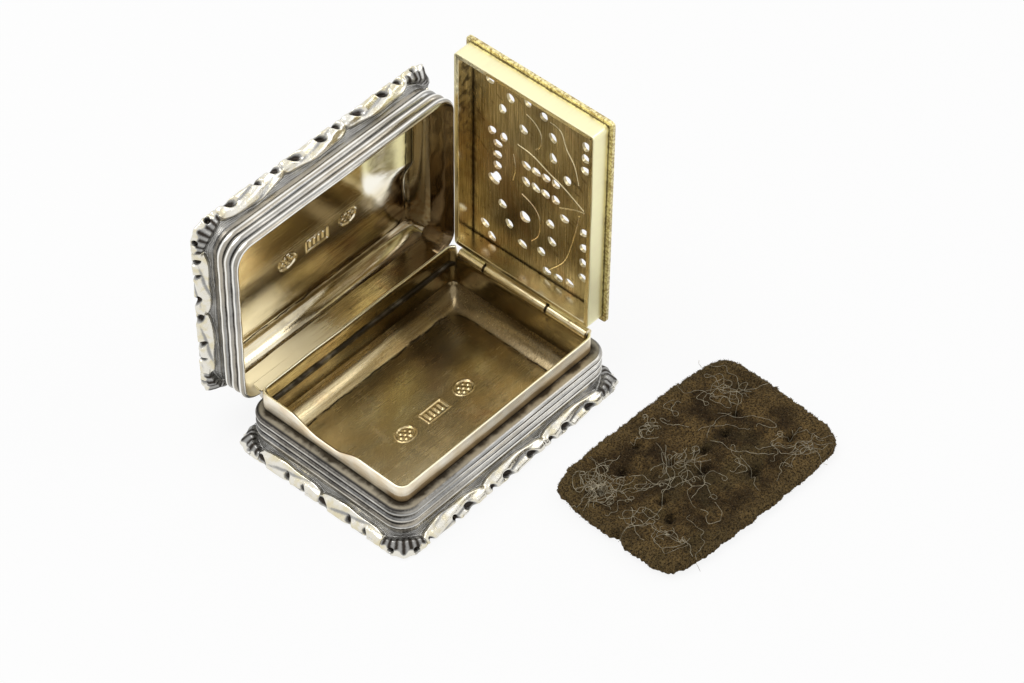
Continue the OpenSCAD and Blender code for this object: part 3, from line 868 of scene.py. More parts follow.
def cast_silver(place):
    """Cast silver: white on the leaves, grey down their flanks and in the ground, black in the pits."""
    low = place.node("ShaderNodeAttribute", {"attribute_name": "patina"}, {}, "Fac")
    clouds = place.noise(2.2, 4)
    grain = place.noise(0.22, 3)
    soiled = low + (clouds - 0.5) * 0.45 + (grain - 0.5) * 0.3
    white = place.noise(1.6, 3).rise(0.42, 0.66).mix(silver_white, (0.74, 0.67, 0.48, 1))
    colour = soiled.rise(0.1, 0.5).mix(white, (0.34, 0.335, 0.32, 1))
    colour = soiled.rise(0.45, 0.95).mix(colour, (0.04, 0.033, 0.027, 1))
    return {
        "Base Color": colour, "Roughness": 0.18 + soiled.rise(0.2, 0.9) * 0.3, "Metallic": 1,
        "Relief": grain * 0.7 + clouds * 0.3, "Depth": 0.04 * mm,
    }


cast_finish = finish_of("cast_silver", cast_silver)
side_x, side_y = wall_half_x - border_corner, wall_half_y - border_corner
border_runs = {
    "front": ((-side_x, -wall_half_y), (side_x, -wall_half_y), long_leaves, 3, True),
    "right": ((wall_half_x, -side_y), (wall_half_x, side_y), short_leaves, 2, False),
    "back": ((side_x, wall_half_y), (-side_x, wall_half_y), long_leaves, 3, True),
    "left": ((-wall_half_x, side_y), (-wall_half_x, -side_y), short_leaves, 2, False),
}


def cast_border(name, run, seed):
    """One border strip, made round the foot of the base."""
    begin, finish, leaves, count, corners = border_runs[run]
    line = bpy.data.meshes.new(name)
    line.from_pydata([(*begin, 0), (*finish, 0)], [(0, 1)], [])
    return grown(name, line, border_tree, 0.004 * mm, {
        "Leaves": leaves, "Leaf Count": count, "Half Leaf": math.dist(begin, finish) / count / 2,
        "Corner Before": palmette_before, "Corner After": palmette_after, "Corners": corners,
        "Seed": seed, "Finish": cast_finish,
    })


lid_hinge = next(joint for joint in frame["joints"] if joint["name"] == "lid_hinge")
lid_axis_y, lid_axis_z = lid_hinge["pos_m"][1:]
box_top = 13.55 * mm
onto_lid = Matrix((
    (1, 0, 0, 0),
    (0, 0, -1, lid_axis_y + box_top - lid_axis_z),
    (0, 1, 0, lid_axis_y + lid_axis_z),
    (0, 0, 0, 1),
))
lid_sides = {"front": "back", "right": "right", "back": "front", "left": "left"}
for seed, (side, lid_side) in enumerate(lid_sides.items()):
    for body, own_side, own_seed in (("base", side, seed), ("lid", lid_side, seed + 10)):
        border = cast_border(f"leaf_border_{body}_{own_side}", side, own_seed)
        if body == "lid":
            border.data.transform(onto_lid)
        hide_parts(f"{body}_border_{own_side}")
        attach(border, body)

# The lid's top sheet. Like the bottom one: rolled silver, gilt inside and struck with three blank
# punches, with its own row of them under the middle. The lid's wall is soldered round it.
lid_low, lid_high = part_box("lid_plate")
lid_middle = (lid_low.z + lid_high.z) / 2
lid_punch_row = -2.3 * mm
lid_half_x = 19.2 * mm
lid_half_y = 13.15 * mm
lid_radius = 2.2 * mm
dent_low, dent_bottom, dent_high = 8, 12.3, 20
dent_steps = 121
dent_slope, dent_bend, dent_steepest = 0.03, 0.006, 0.2
dent_ease = 2
dent_near_fade, dent_far_fade = 3 * mm, 1 * mm
seam_step = 0.07 * mm


def lid_relief(x, y):
    """Struck like the bottom sheet, within its cove, with a shallow dent towards the grille's end.

    The dent is worked out in millimetres, from its slope along the sheet.
    """
    line, step = np.linspace(dent_low, dent_high, dent_steps, retstep=True)
    past = line - dent_bottom
    slope = np.minimum(dent_slope * past + dent_bend * past ** 2, dent_steepest)
    slope = slope * smooth_step((line - dent_low) / dent_ease)
    dent = np.interp(x / mm, line, np.cumsum(slope) * step) * mm
    dent = dent * smooth_step((y + dent_near_fade) / dent_near_fade)
    dent = dent * smooth_step((lid_half_y - cove - y) / dent_far_fade)
    dent = dent * (inside_of(x, y, lid_half_x, lid_half_y, lid_radius) > -cove_rim)
    rise = cove_lift(x, y, lid_half_x, lid_half_y, lid_radius)
    rise = rise + seam_step * smooth_step(rise / (0.1 * mm))
    return struck_relief(x, y, lid_punch_row, 11.0) + np.where(rise > 0, np.maximum(dent, rise), dent)


lid_top = worked_sheet(
    "lid_top", sheet_half_x, sheet_half_y, sheet_radius, sheet_thickness,
    sheet_lines(sheet_half_x, lid_half_x, punch_places[0] - punch_reach, punch_places[2] + punch_reach),
    sheet_lines(sheet_half_y, lid_half_y, lid_punch_row - punch_reach, lid_punch_row + punch_reach),
    lid_relief,
)
lid_upright = Matrix.Translation((0, lid_low.y, lid_middle)) @ Matrix.Rotation(math.pi / 2, 4, "X")
lid_top.data.transform(lid_upright)


def lid_finish(place):
    """Bright gilding inside, with a painted reflection towards the grille's end and painted shade along the
    cove and at the grille's end, and silver outside.
    """
    across, along = place.axis(0), place.axis(2) - lid_middle
    # browned is painted shade: darker low on the sheet towards the cove, more so to the right, and at the
    # grille's end.
    browned = along.rise(-4 * mm, -9 * mm) * (0.2 + across.rise(-12 * mm, -4 * mm) * 0.55)
    browned = browned.most(across.rise(16 * mm, 17.5 * mm))
    look = sheet_gilding(place, across, along, lid_half_x, lid_half_y, 0.4, browned, 0.9)
    # Painted reflection: a pale, smoother patch where the sheet mirrors the white table.
    reflection_patch = across.rise(8 * mm, 9.5 * mm) * across.rise(16.8 * mm, 16 * mm) * along.rise(-3 * mm, 0)
    coat(look, reflection_patch * 0.95, (1, 0.97, 0.86, 1))
    look["Roughness"] = look["Roughness"] * (1 - reflection_patch * 0.85)
    drawn = place.noise(0.45, 4, (25, 1, 1), rough=0.65).rise(0.48, 0.6)
    drawn = drawn * along.rise(-2 * mm, -7 * mm) * across.rise(-6 * mm, 4 * mm)
    coat(look, drawn * 0.65, (0.2, 0.12, 0.04, 1))
    return silver_outside(look, place, place.axis(1).rise(lid_high.y - 0.2 * mm, lid_high.y - 0.1 * mm))


lid_top.data.materials.append(finish_of("gilt_lid", lid_finish))
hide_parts("lid_plate")
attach(lid_top, "lid")

# The lid's wall. The same reeded strip as the base's, bright outside and along its edge, and gilt
# inside, where it was soldered to the top sheet.
lid_wall_low, lid_wall_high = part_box("lid_wall")
lid_deep = lid_wall_high.y - lid_wall_low.y
lid_bearer_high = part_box("lid_bearer")[1]
reed_round = 0.704 * mm
lid_spring = 0.4 * mm
lid_lip, lid_sheet = 0.5 * mm, 0.8 * mm
lid_lip_high = 1.5 * mm
bearer_room = 0.05 * mm
bearer_gap = 0.02 * mm
waver_high = 0.025 * mm
lid_path, lid_way = round_path(wall_half_x, wall_half_y, wall_radius, 0.5 * mm)
reeds_high = reed_count * reed_pitch
lid_steps = np.concatenate([np.linspace(0, reeds_high, 49), np.linspace(reeds_high, lid_deep, 7)[1:]])
reed_phase = lid_steps % reed_pitch - reed_pitch / 2
reeds = np.sqrt(reed_round ** 2 - reed_phase ** 2) - reed_round
lid_outer = np.where(lid_steps < reeds_high, reeds, border_back)
inner_steps = np.linspace(0, lid_deep, 13)
lid_inner = -lid_lip - (lid_sheet - lid_lip) * smooth_step(inner_steps / lid_lip_high)
lid_loop = np.concatenate([lid_outer[::-1], lid_inner])
lid_heights = np.concatenate([lid_steps[::-1], inner_steps])
lid_sections = []
for (path_x, path_y), (way_x, way_y) in zip(lid_path, lid_way):
    at_hinge = way_y < -0.99 and abs(path_x) < lid_bearer_high.x + bearer_room
    heights = np.maximum(lid_heights, lid_bearer_high.y - lid_wall_low.y + bearer_gap if at_hinge else 0)
    sprung = lid_spring * (1 - heights / lid_deep) ** 2.5 * max(way_x, 0) ** 2
    waver = waver_high * np.sin(path_x / (2.3 * mm) + 1.7 * path_y / mm + heights / (0.5 * mm))
    lid_sections.append(np.stack([lid_loop + sprung + waver, lid_deep - heights], -1))
lid_strip = swept_ring("lid_strip", lid_path, lid_way, np.array(lid_sections))
lid_strip.data.transform(lid_upright)
sharpen(lid_strip, math.radians(50))


def lid_wall_finish(place):
    """Reeded silver outside the strip, with painted shade towards its left end, a bright edge, and gilding
    inside it, rubbed and painted brighter low on the left, with painted shade towards the grille.
    """
    across, height, upward = place.axis(0), place.axis(1) - lid_wall_low.y, place.axis(2) - lid_middle
    sprung = (1 - height / lid_deep).most(0) ** 2.5 * across.rise(16 * mm, 19 * mm) * lid_spring
    depth = past_outline(across, upward, wall_half_x, wall_half_y, wall_radius) - sprung
    foot = height.rise((reed_count - 0.35) * reed_pitch, reed_count * reed_pitch) * 0.6
    edge = height.rise(0.16 * mm, 0.04 * mm)
    # Painted shade: the reeds' hollows are made darker towards the left end.
    dulled = 0.8 + across.rise(-14 * mm, -18 * mm) * 0.3
    look = old_silver(place, reed_hollow(height).most(foot) * (1 - edge) * dulled, (40, 1, 40))
    gilt = gilding(place, (2, 1, 2), 0.5)
    low = upward.rise(-10 * mm, -12 * mm)
    # Rubbed gilding low on the wall, partly wear and partly a painted highlight that grows towards the left.
    rubbed = across.rise(3 * mm, -9 * mm) * 0.8 + place.noise(0.4, 4, (12, 1, 1)) - 0.35
    rubbed = low * rubbed.rise(0.2, 0.8)
    coat(gilt, rubbed, (1, 0.94, 0.76, 1))
    drawn = place.noise(0.4, 4, (25, 1, 1), rough=0.65).rise(0.5, 0.64)
    coat(gilt, drawn * low * across.rise(-6 * mm, 5 * mm) * 0.55, (0.26, 0.16, 0.055, 1))
    # Painted shade towards the grille's end and along the lower wall to the right.
    grille_end_shade = across.rise(14 * mm, 18.5 * mm).most(across.rise(2 * mm, 14 * mm) * low * 0.7)
    coat(gilt, grille_end_shade * 0.85, (0.09, 0.054, 0.026, 1))
    inside = depth.rise(-0.43 * mm, -0.49 * mm)
    coat(look, inside, gilt["Base Color"])
    look["Roughness"] = look["Roughness"] * (1 - inside) + (gilt["Roughness"] + rubbed * 0.22) * inside
    return look


reeded_lid = finish_of("reeded_silver_lid", lid_wall_finish)
lid_strip.data.materials.append(reeded_lid)
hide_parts("lid_wall")
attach(lid_strip, "lid")
dress("lid_bearer", reeded_lid)

# The hinges. Drawn tubes soldered in turn to the two sides and strung on wires: silver along the lid's
# back edge in channelled bearer strips, gilt on the bezel's end.
tube_silver = finish_of(
    "tube_silver", lambda place: old_silver(place, place.noise(1.5) * 0.6, (1, 20, 20)),
)
for name in ("base_bearer", "base_knuckles", "lid_knuckles", "lid_pin", "grille_pin"):
    dress(name, tube_silver)
knuckle_low, knuckle_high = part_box("grille_knuckle")


def tube_gilding(place):
    """Gilt tubes, rubbed bright, with dirt where one ends against the next."""
    look = gilding(place, (1, 2, 1), 0.3)
    along = place.axis(1)
    coat(look, place.noise(0.6, 4, (1, 4, 1)).rise(0.6, 0.35) * 0.7, (0.9, 0.8, 0.55, 1))
    joint = abs(along - knuckle_low.y).least(abs(along - knuckle_high.y)).rise(0.3 * mm, 0.12 * mm)
    coat(look, joint, dirt)
    look["Roughness"] = look["Roughness"] + 0.12
    return look


tube_gilt = finish_of("tube_gilt", tube_gilding)
for name in ("grille_base_knuckles", "grille_knuckle"):
    dress(name, tube_gilt)

# The grille's tray. A strip of silver-gilt bent round and soldered on the pierced plate, its open edge
# filed flat. Its outside is rubbed to a pale lemon gold, brushed across, and its inside is dull.
tray_low, tray_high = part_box("grille_frame")
tray_sheet = 0.4 * mm
tray_rim = 0.75 * mm
tray_radius = 0.6 * mm
tray_back = 0.2 * mm
tray_chamfer = 0.05 * mm
tray_bend, tray_bend_size = 0.06 * mm, 7 * mm
tray_middle = (tray_low.z + tray_high.z) / 2
tray_half = (tray_high.z - tray_low.z) / 2
tray_deep = tray_high.x - tray_low.x
tray_path, tray_out = round_path(tray_half, tray_high.y, tray_radius, 0.4 * mm)
tray_levels = np.concatenate([[1], np.linspace(0.95, 0.05, 8), [0.02]]) * tray_deep
tray_sections = []
for x, y in tray_path:
    bend = tray_bend * noise.noise(Vector((x, y, 3 * mm)) / tray_bend_size)
    lean = bend * (1 - tray_levels / tray_deep)
    outer = np.stack([lean, tray_levels], -1)
    edge = [(bend - tray_chamfer, 0), (bend - tray_rim + tray_chamfer, 0)]
    inner = np.stack([lean - tray_rim, tray_levels], -1)[::-1]
    tray_sections.append(np.concatenate([outer, edge, inner]))
tray_path[:, 1] += tray_back * smooth_step(tray_path[:, 1] / tray_high.y)
tray = swept_ring("grille_tray", tray_path, tray_out, np.array(tray_sections))
tray.data.transform(Matrix.Translation((tray_low.x, 0, tray_middle)) @ Matrix.Rotation(math.pi / 2, 4, "Y"))
sharpen(tray, math.radians(40))
gilt_lemon = (0.99, 0.96, 0.6, 1)


def past_edge(place, half_across, half_along):
    """How far a place on the grille lies outside a rectangle; less than zero inside it."""
    return (abs(place.axis(1)) - half_across).most(abs(place.axis(2) - tray_middle) - half_along)


def tray_gilding(place):
    """Lemon gold outside, brushed across the strip; browned gilding inside; a dark line along the plate."""
    look = gilding(place, (1, 1, 2), 0.4)
    upper = (place.axis(2) - tray_middle).rise(-4 * mm, 12 * mm)
    soot = place.noise(1.4, 5).rise(0.45, 0.62) * upper
    outside = past_edge(place, tray_high.y - 0.2 * mm, tray_half - 0.2 * mm).rise(-0.02 * mm, 0.04 * mm)
    brushed = place.noise(0.1, 3, (30, 1, 1)) * 0.5 + place.noise(2.5, 4) * 0.5
    lemon = brushed.rise(0.3, 0.7).mix(gilt_lemon, (0.94, 0.87, 0.56, 1))
    depth = place.axis(0)
    edge = depth.rise(tray_low.x + 0.1 * mm, tray_low.x + 0.02 * mm)
    ragged = depth + (place.noise(0.5, 4) - 0.5) * 0.5 * mm
    groove = ragged.rise(tray_high.x - 0.3 * mm, tray_high.x - 0.08 * mm) * 0.85
    coat(look, soot * 0.8, (0.03, 0.022, 0.012, 1))
    coat(look, outside, lemon)
    coat(look, edge * 0.6, (0.8, 0.74, 0.5, 1))
    coat(look, groove, (0.06, 0.04, 0.015, 1))
    look["Roughness"] = look["Roughness"] + outside * 0.2
    look["Relief"] = look["Relief"] * (1 - outside) + brushed * outside
    return look


tray.data.materials.append(finish_of("tray_gilding", tray_gilding))
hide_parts("grille_frame")
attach(tray, "grille")

# The grille's plate. Sheet silver-gilt, pierced with a drill and engraved from the outside with sprigs,
# so that their lines stand up on the inside. Its margin stands out past the tray and was left rough.
pierced_low, pierced_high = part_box("grille_plate")
pierced_half = (pierced_high.z - pierced_low.z) / 2
pierced_sheet = pierced_high.x - pierced_low.x
share_along, share_across = tray_half - tray_sheet, tray_high.y - tray_sheet
pierced_columns, pierced_rows = 90, 62
small_hole, large_hole = 0.7 * mm, 0.9 * mm
hole_places = [(row, column) for row in (-0.08, 0.09) for column in (-0.28, -0.13, 0.02, 0.17)]
hole_places += [(row, 0.61) for row in (-0.21, -0.095, 0.02, 0.135)]
hole_places += [(row, -0.72) for row in (-0.73, -0.567, -0.404, -0.241)]
hole_places += [(row, -0.71) for row in (0.42, 0.545, 0.67)]
hole_places += [
    (0.24, 0.52), (0.24, 0.7), (0.76, 0.73), (0.69, 0.42), (0.76, 0.16), (0.53, 0.54), (0.71, -0.08),
    (0.45, 0.22), (0.55, -0.22), (0.34, -0.23), (0.2, -0.45), (-0.48, 0.53), (-0.81, 0.8), (-0.91, 0.69),
    (-0.65, 0.42), (-0.37, -0.21), (-0.22, -0.42), (-0.78, 0.21), (-0.55, -0.24), (-0.73, -0.08),
    (-0.91, -0.17), (-0.9, -0.35), (-0.88, -0.52),
]
large_places = [(-0.47, 0.18), (-0.26, 0.66)]
hole_sides = 18
drill_reach = 1 * mm
sprig_line = 0.15 * mm
sprig_step = 0.3 * mm
sprig_sunk = 0.05 * mm
sprig_strokes = (
    ((10.5, 2), (9.8, 0.5), (8.4, -0.5), (6.4, -0.4), (5.4, 0.3)),
    ((4.3, 3.4), (3.9, 0.7), (2.7, -2), (1.7, -4.6), (-0.2, -8)),
    ((2.2, 4.2), (-0.2, 3.8), (-2.5, 4.2)),
    ((-4, 2.6), (-4.9, 0.6), (-6.6, -0.5), (-9.4, -0.4), (-11.3, 0.8)),
    ((11.6, -2), (11.2, -3.8), (8.8, -4.8), (6.7, -6.2), (3.8, -7)),
    ((-2.2, -4), (-1, -6.4), (-0.5, -8.2)),
    ((-1.6, -7.2), (-5.6, -6.5), (-11, -5), (-14.6, -2.3)),
)


def drilled_holes(places, radius):
    """Prisms to cut slightly irregular round holes."""
    points, faces = [], []
    for number, (row, column) in enumerate(places):
        stretch = 1 + 0.16 * math.sin(number * 2.4)
        lean = number * 1.3
        first = len(points)
        for level in (-drill_reach, drill_reach):
            for angle in np.arange(hole_sides) * 2 * math.pi / hole_sides:
                reach = radius * (1 + 0.05 * math.sin(3 * angle + number))
                a, b = reach * stretch * math.cos(angle), reach / stretch * math.sin(angle)
                points.append((
                    row * share_along + a * math.cos(lean) - b * math.sin(lean),
                    column * share_across + a * math.sin(lean) + b * math.cos(lean),
                    level,
                ))
        near, far = [[first + n * hole_sides + i for i in range(hole_sides)] for n in (0, 1)]
        faces += [(near[i - 1], near[i], far[i], far[i - 1]) for i in range(hole_sides)]
        faces += [near[::-1], far]
    return points, faces


stroke_tree, given = named_tree("sprig_strokes", {
    "Geometry": "Geometry", "Line": "Float", "Step": "Float", "Finish": "Material",
})
stroke = Wire(stroke_tree)
path = stroke.node("GeometryNodeMeshToCurve", {}, {0: given("Geometry")})
path = stroke.node("GeometryNodeCurveSplineType", {"spline_type": "CATMULL_ROM"}, {0: path})
path = stroke.node("GeometryNodeResampleCurve", {"mode": "LENGTH"}, {0: path, 3: given("Step")})
graver = stroke.node("GeometryNodeCurvePrimitiveCircle", {}, {"Resolution": 8, "Radius": given("Line")})
lines = stroke.node("GeometryNodeCurveToMesh", {}, {0: path, 1: graver, 3: True})
end_tree(lines, given("Finish"))


def sprig_lines(name, level, finish):
    """All strokes of the sprigs as round lines lying at one level of the plate."""
    points, edges = [], []
    for one in sprig_strokes:
        edges += [(len(points) + i, len(points) + i + 1) for i in range(len(one) - 1)]
        points += [(along * mm, across * mm, level) for along, across in one]
    mesh = bpy.data.meshes.new(name)
    mesh.from_pydata(points, edges, [])
    values = {"Line": sprig_line, "Step": sprig_step, "Finish": finish}
    return grown(name, mesh, stroke_tree, 0.001 * mm, values)


def plate_gilding(place):
    """Dull gilding with upright file marks; a rough brown-gold margin and a dark corner along the tray."""
    look = gilding(place, (1, 1, 3), 0.5)
    file_marks = place.noise(0.22, 3, (1, 1, 25))
    coat(look, file_marks.rise(0.35, 0.65) * 0.5, (0.2, 0.15, 0.06, 1))
    inside = past_edge(place, share_across, share_along)
    ragged = inside + (place.noise(0.8, 4) - 0.5) * 1.2 * mm
    corner = ragged.rise(-0.9 * mm, -0.1 * mm) * inside.rise(0.3 * mm, 0.1 * mm) * 0.8
    coat(look, corner, (0.04, 0.026, 0.012, 1))
    margin = inside.rise(0.35 * mm, 0.5 * mm)
    grain = place.noise(0.35, 4)
    rough_gold = grain.rise(0.35, 0.65).mix((0.92, 0.83, 0.46, 1), (0.4, 0.3, 0.13, 1))
    coat(look, margin, rough_gold)
    look["Roughness"] = look["Roughness"] + 0.12 + margin * 0.15
    look["Relief"] = look["Relief"] * 0.5 + file_marks * 0.5 + grain * margin * 2
    look["Depth"] = 0.02 * mm
    return look


plate_finish = finish_of("plate_gilding", plate_gilding)
pierced = worked_sheet(
    "grille_pierced", pierced_half, pierced_high.y, tray_radius, pierced_sheet,
    np.linspace(-pierced_half, pierced_half, pierced_columns),
    np.linspace(-pierced_high.y, pierced_high.y, pierced_rows),
    lambda x, y: wave_high * uneven(x, y, 8 * mm, 21.0),
)
pierced.data.materials.append(plate_finish)
cutters = [
    mesh_object("small_drill", *drilled_holes(hole_places, small_hole)),
    mesh_object("large_drill", *drilled_holes(large_places, large_hole)),
    sprig_lines("graver", -pierced_sheet - sprig_sunk, plate_finish),
]
# Cutting is worked out in millimetres, because it fails on so small a sheet in metres.
pierced.data.transform(Matrix.Scale(1 / mm, 4))
for cutter in cutters:
    cutter.data.transform(Matrix.Scale(1 / mm, 4))
    cut = pierced.modifiers.new(cutter.name, "BOOLEAN")
    cut.object = cutter
    cut.operation = "DIFFERENCE"
    cut.solver = "EXACT"
pierced = plain_mesh("grille_pierced", pierced, 0.001)
for cutter in cutters:
    bpy.data.objects.remove(cutter)
pierced.data.transform(Matrix.Scale(mm, 4))
onto_plate = Matrix.Translation((pierced_low.x, 0, tray_middle)) @ Matrix.Rotation(-math.pi / 2, 4, "Y")
pierced.data.transform(onto_plate)
sharpen(pierced, math.radians(40))
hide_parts("grille_plate")
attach(pierced, "grille")
chased_finish = finish_of("chased_gilding", lambda place: gilding(place, (1, 1, 2), 0.1))
chased = sprig_lines("grille_chasing", -sprig_sunk, chased_finish)
chased.data.transform(onto_plate)
chased.data.polygons.foreach_set("use_smooth", [True] * len(chased.data.polygons))
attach(chased, "grille")

# The sponge. A pad of matted natural sponge cut to fill the well, dried dark brown, pitted, with torn
# edges and one nick. It was taken out and laid on the table.
pad_middle = Vector((16.1, -32.3, 0)) * mm
pad_turn = math.radians(-3)
pad_half_x, pad_half_y = 16.45 * mm, 10.95 * mm
pad_thick = 2.5 * mm
pad_power = 7.0
pad_edge_round = 1.0 * mm
pad_spread = 0.45 * mm
pad_sunk = 0.2 * mm
pad_columns, pad_rows = 261, 181
pad_pits = (
    (-8.6, 5.3, 0.8), (-3, 2.1, 0.6), (-8.5, -1.7, 0.8), (1.7, 0.5, 0.7), (9.4, 2.1, 0.6),
    (-9.8, -4.3, 0.9), (-13.1, 4.9, 0.7), (11.4, -5.8, 0.8), (5.9, 0.6, 0.7), (-1.1, -1.9, 0.9),
    (3.5, -6.5, 0.9), (-4, 7.2, 0.6),
)
pit_deep = 1.3 * mm
pad_tears = ((1.6, 0.36, 41.0), (0.45, 0.4, 43.0))
pad_grains = ((0.32, 0.1, 31.0), (0.9, 0.2, 33.0))
pad_lumps = ((3.2, 0.28, 35.0),)
nick_place, nick_width, nick_deep = -1.3 * mm, 0.8 * mm, 0.9 * mm
square_x, square_y = np.meshgrid(np.linspace(-1, 1, pad_columns), np.linspace(-1, 1, pad_rows))
square = np.maximum(np.abs(square_x), np.abs(square_y))
reach = (np.abs(square_x) ** pad_power + np.abs(square_y) ** pad_power) ** (1 / pad_power)
draw_in = square / np.maximum(reach, 1e-9)
out_x, out_y = square_x * draw_in, square_y * draw_in
pad_x, pad_y = out_x * pad_half_x, out_y * pad_half_y
tear = layered(pad_x, pad_y, pad_tears)
nick = np.exp(-((pad_y - nick_place) / nick_width) ** 2) * (pad_x < -14 * mm) * nick_deep
tear = (tear + pad_spread) * square ** 12 - nick * square ** 24
out_length = np.maximum(np.hypot(out_x, out_y), 1e-9)
pad_x, pad_y = pad_x + tear * out_x / out_length, pad_y + tear * out_y / out_length
pad_half = np.where(np.abs(square_x) > np.abs(square_y), pad_half_x, pad_half_y)
near_edge = np.clip((1 - square) * pad_half / pad_edge_round, 0, 1)
rounding = np.sqrt(1 - (1 - near_edge) ** 2)
grain = layered(pad_x, pad_y, pad_grains)
lumps = layered(pad_x, pad_y, pad_lumps)
pad_pit = sum(
    np.exp(-(((pad_x - x * mm) / (radius * mm)) ** 2 + ((pad_y - y * mm) / (0.7 * radius * mm)) ** 2))
    for x, y, radius in pad_pits
)
pad_pit = np.clip(pad_pit, 0, 1)
pad_top = pad_thick - pad_sunk + lumps + grain - pit_deep * pad_pit
waist = 0.45 * pad_thick
upper = waist + (pad_top - waist) * rounding
lower = waist * (1 - rounding)
layers = [np.stack([pad_x, pad_y, height], -1).reshape(-1, 3) for height in (upper, lower)]
pad_count = pad_rows * pad_columns
pad_faces = grid_faces(pad_rows, pad_columns)
pad_faces += [tuple(point + pad_count for point in face[::-1]) for face in pad_faces]
sponge_raw = mesh_object("sponge_raw", np.concatenate(layers), pad_faces)


def tangle(x, y, reach, weight):
    """A knot of loose threads: how close they lie round one place of the pad."""
    return weight * np.exp(-((pad_x - x * mm) ** 2 + (pad_y - y * mm) ** 2) / (reach * mm) ** 2)


thread_knots = (
    (-12.6, 4.9, 2.4, 0.9), (-13.8, 7.6, 1.4, 0.5), (-13.4, -3, 1.5, 0.45), (-13.6, -8.6, 2.0, 1),
    (11.2, -9.6, 1.6, 0.9), (7, -9.9, 1.5, 0.7), (-1.1, 8.6, 1.2, 0.3), (4.3, 2.6, 1.3, 0.25),
    (-2.4, 0.3, 1.6, 0.3), (11.3, 6.2, 1.4, 0.2), (-6.5, 1.5, 1.5, 0.25),
)
thread_least = 0.035
thread_limit = 0.86
thread_share = thread_least + sum(tangle(*knot) for knot in thread_knots)
for name, upper_values, lower_value in (
    ("pit", pad_pit, 0), ("rim", square ** 10, 1), ("fuzz_share", 0.4 + 0.6 * square ** 8, 0),
    ("thread_share", thread_share * (square < thread_limit), 0),
):
    values = np.concatenate([np.ravel(upper_values), np.full(pad_count, lower_value)])
    sponge_raw.data.attributes.new(name, "FLOAT", "POINT").data.foreach_set("value", values)
sponge = plain_mesh("sponge_pad", sponge_raw, 0.002 * mm)


def matted_sponge(place):
    """Brown felt, with painted shade making its pits nearly black, and lighter and more olive along its torn
    rim.
    """
    pit, rim = (place.node("ShaderNodeAttribute", {"attribute_name": n}, {}, "Fac") for n in ("pit", "rim"))
    clouds = place.noise(3.5, 4)
    fibres = place.noise(0.24, 4, rough=0.7)
    brown = clouds.rise(0.36, 0.64).mix((0.045, 0.027, 0.011, 1), (0.19, 0.122, 0.046, 1))
    look = {"Base Color": brown, "Roughness": 0.95, "Metallic": 0, "Relief": fibres, "Depth": 0.25 * mm}
    coat(look, place.noise(6, 3).rise(0.5, 0.62) * 0.5, (0.075, 0.06, 0.026, 1))
    coat(look, rim * 0.7, (0.22, 0.15, 0.06, 1))
    coat(look, fibres.rise(0.62, 0.36), (0.014, 0.009, 0.004, 1))
    # Painted shade: the deep pits are painted nearly black.
    coat(look, pit * 0.85, (0.006, 0.004, 0.002, 1))
    return look


felt = finish_of("matted_sponge", matted_sponge)
felt.node_tree.nodes["Principled BSDF"].inputs["Specular IOR Level"].default_value = 0.1
sponge.data.materials.append(felt)

# Its loose fibres. Short brown fuzz stands up all over the pad, and longer pale threads have matted on
# it in knots, thickest at the left end and along the lower edge.
fibre_tree, given = named_tree("sponge_fibres", {
    "Geometry": "Geometry", "Share": "String", "Density": "Float", "Fibres": "Collection",
    "Turn Low": "Vector", "Turn High": "Vector", "Drape": "Float", "Lift": "Float", "Radius": "Float",
    "Seed": "Int", "Finish": "Material",
})
fibre = Wire(fibre_tree)
drop_from, drop_length = 9 * mm, 100 * mm
thread_wave = 1.3 * mm
thread_hang = 0.7 * mm
thread_low = 0.1 * mm


def chance(kind, values, output):
    """A random value for each fibre, drawn from the tree's seed."""
    return fibre.node("FunctionNodeRandomValue", {"data_type": kind}, {**values, 8: given("Seed")}, output)


share = fibre.node("GeometryNodeInputNamedAttribute", {"data_type": "FLOAT"}, {"Name": given("Share")})
spread = fibre.node("GeometryNodeDistributePointsOnFaces", {}, {
    0: given("Geometry"), 4: share * given("Density"), 6: given("Seed"),
})
own_turn = chance("FLOAT_VECTOR", {0: given("Turn Low"), 1: given("Turn High")}, 0)
turned = fibre.node("FunctionNodeRotateRotation", {"rotation_space": "LOCAL"}, {
    0: spread.beside("Rotation"), 1: fibre.node("FunctionNodeEulerToRotation", {}, {0: own_turn}),
})
pick = chance("INT", {4: 0, 5: 99}, 2)
size = chance("FLOAT", {2: 0.6, 3: 1.4}, 1)
kinds = fibre.node("GeometryNodeCollectionInfo", {}, {0: given("Fibres"), 1: True, 2: True})
laid = fibre.node("GeometryNodeInstanceOnPoints", {}, {
    0: spread, 2: kinds, 3: True, 4: pick, 5: turned, 6: size,
})
laid = fibre.node("GeometryNodeRealizeInstances", {}, {0: laid})
spot = fibre.node("GeometryNodeInputPosition")
above = fibre.node("ShaderNodeCombineXYZ", {}, {0: spot.axis(0), 1: spot.axis(1), 2: drop_from})
hit = fibre.node("GeometryNodeRaycast", {}, {
    "Target Geometry": given("Geometry"), "Source Position": above, "Ray Direction": (0, 0, -1),
    "Ray Length": drop_length,
}, "Is Hit")
wave = fibre.node("ShaderNodeTexNoise", {}, {"Vector": spot, "Scale": 1 / thread_wave, "Detail": 2})
resting = hit.beside("Hit Position").axis(2) + given("Lift") * wave
rest = hit * resting + (1 - hit) * (spot.axis(2) - thread_hang)
height = spot.axis(2) + given("Drape") * (rest.most(thread_low) - spot.axis(2))
draped = fibre.node("ShaderNodeCombineXYZ", {}, {0: spot.axis(0), 1: spot.axis(1), 2: height})
laid = fibre.node("GeometryNodeSetPosition", {}, {0: laid, 2: draped})
laid = fibre.node("GeometryNodeMeshToCurve", {}, {0: laid})
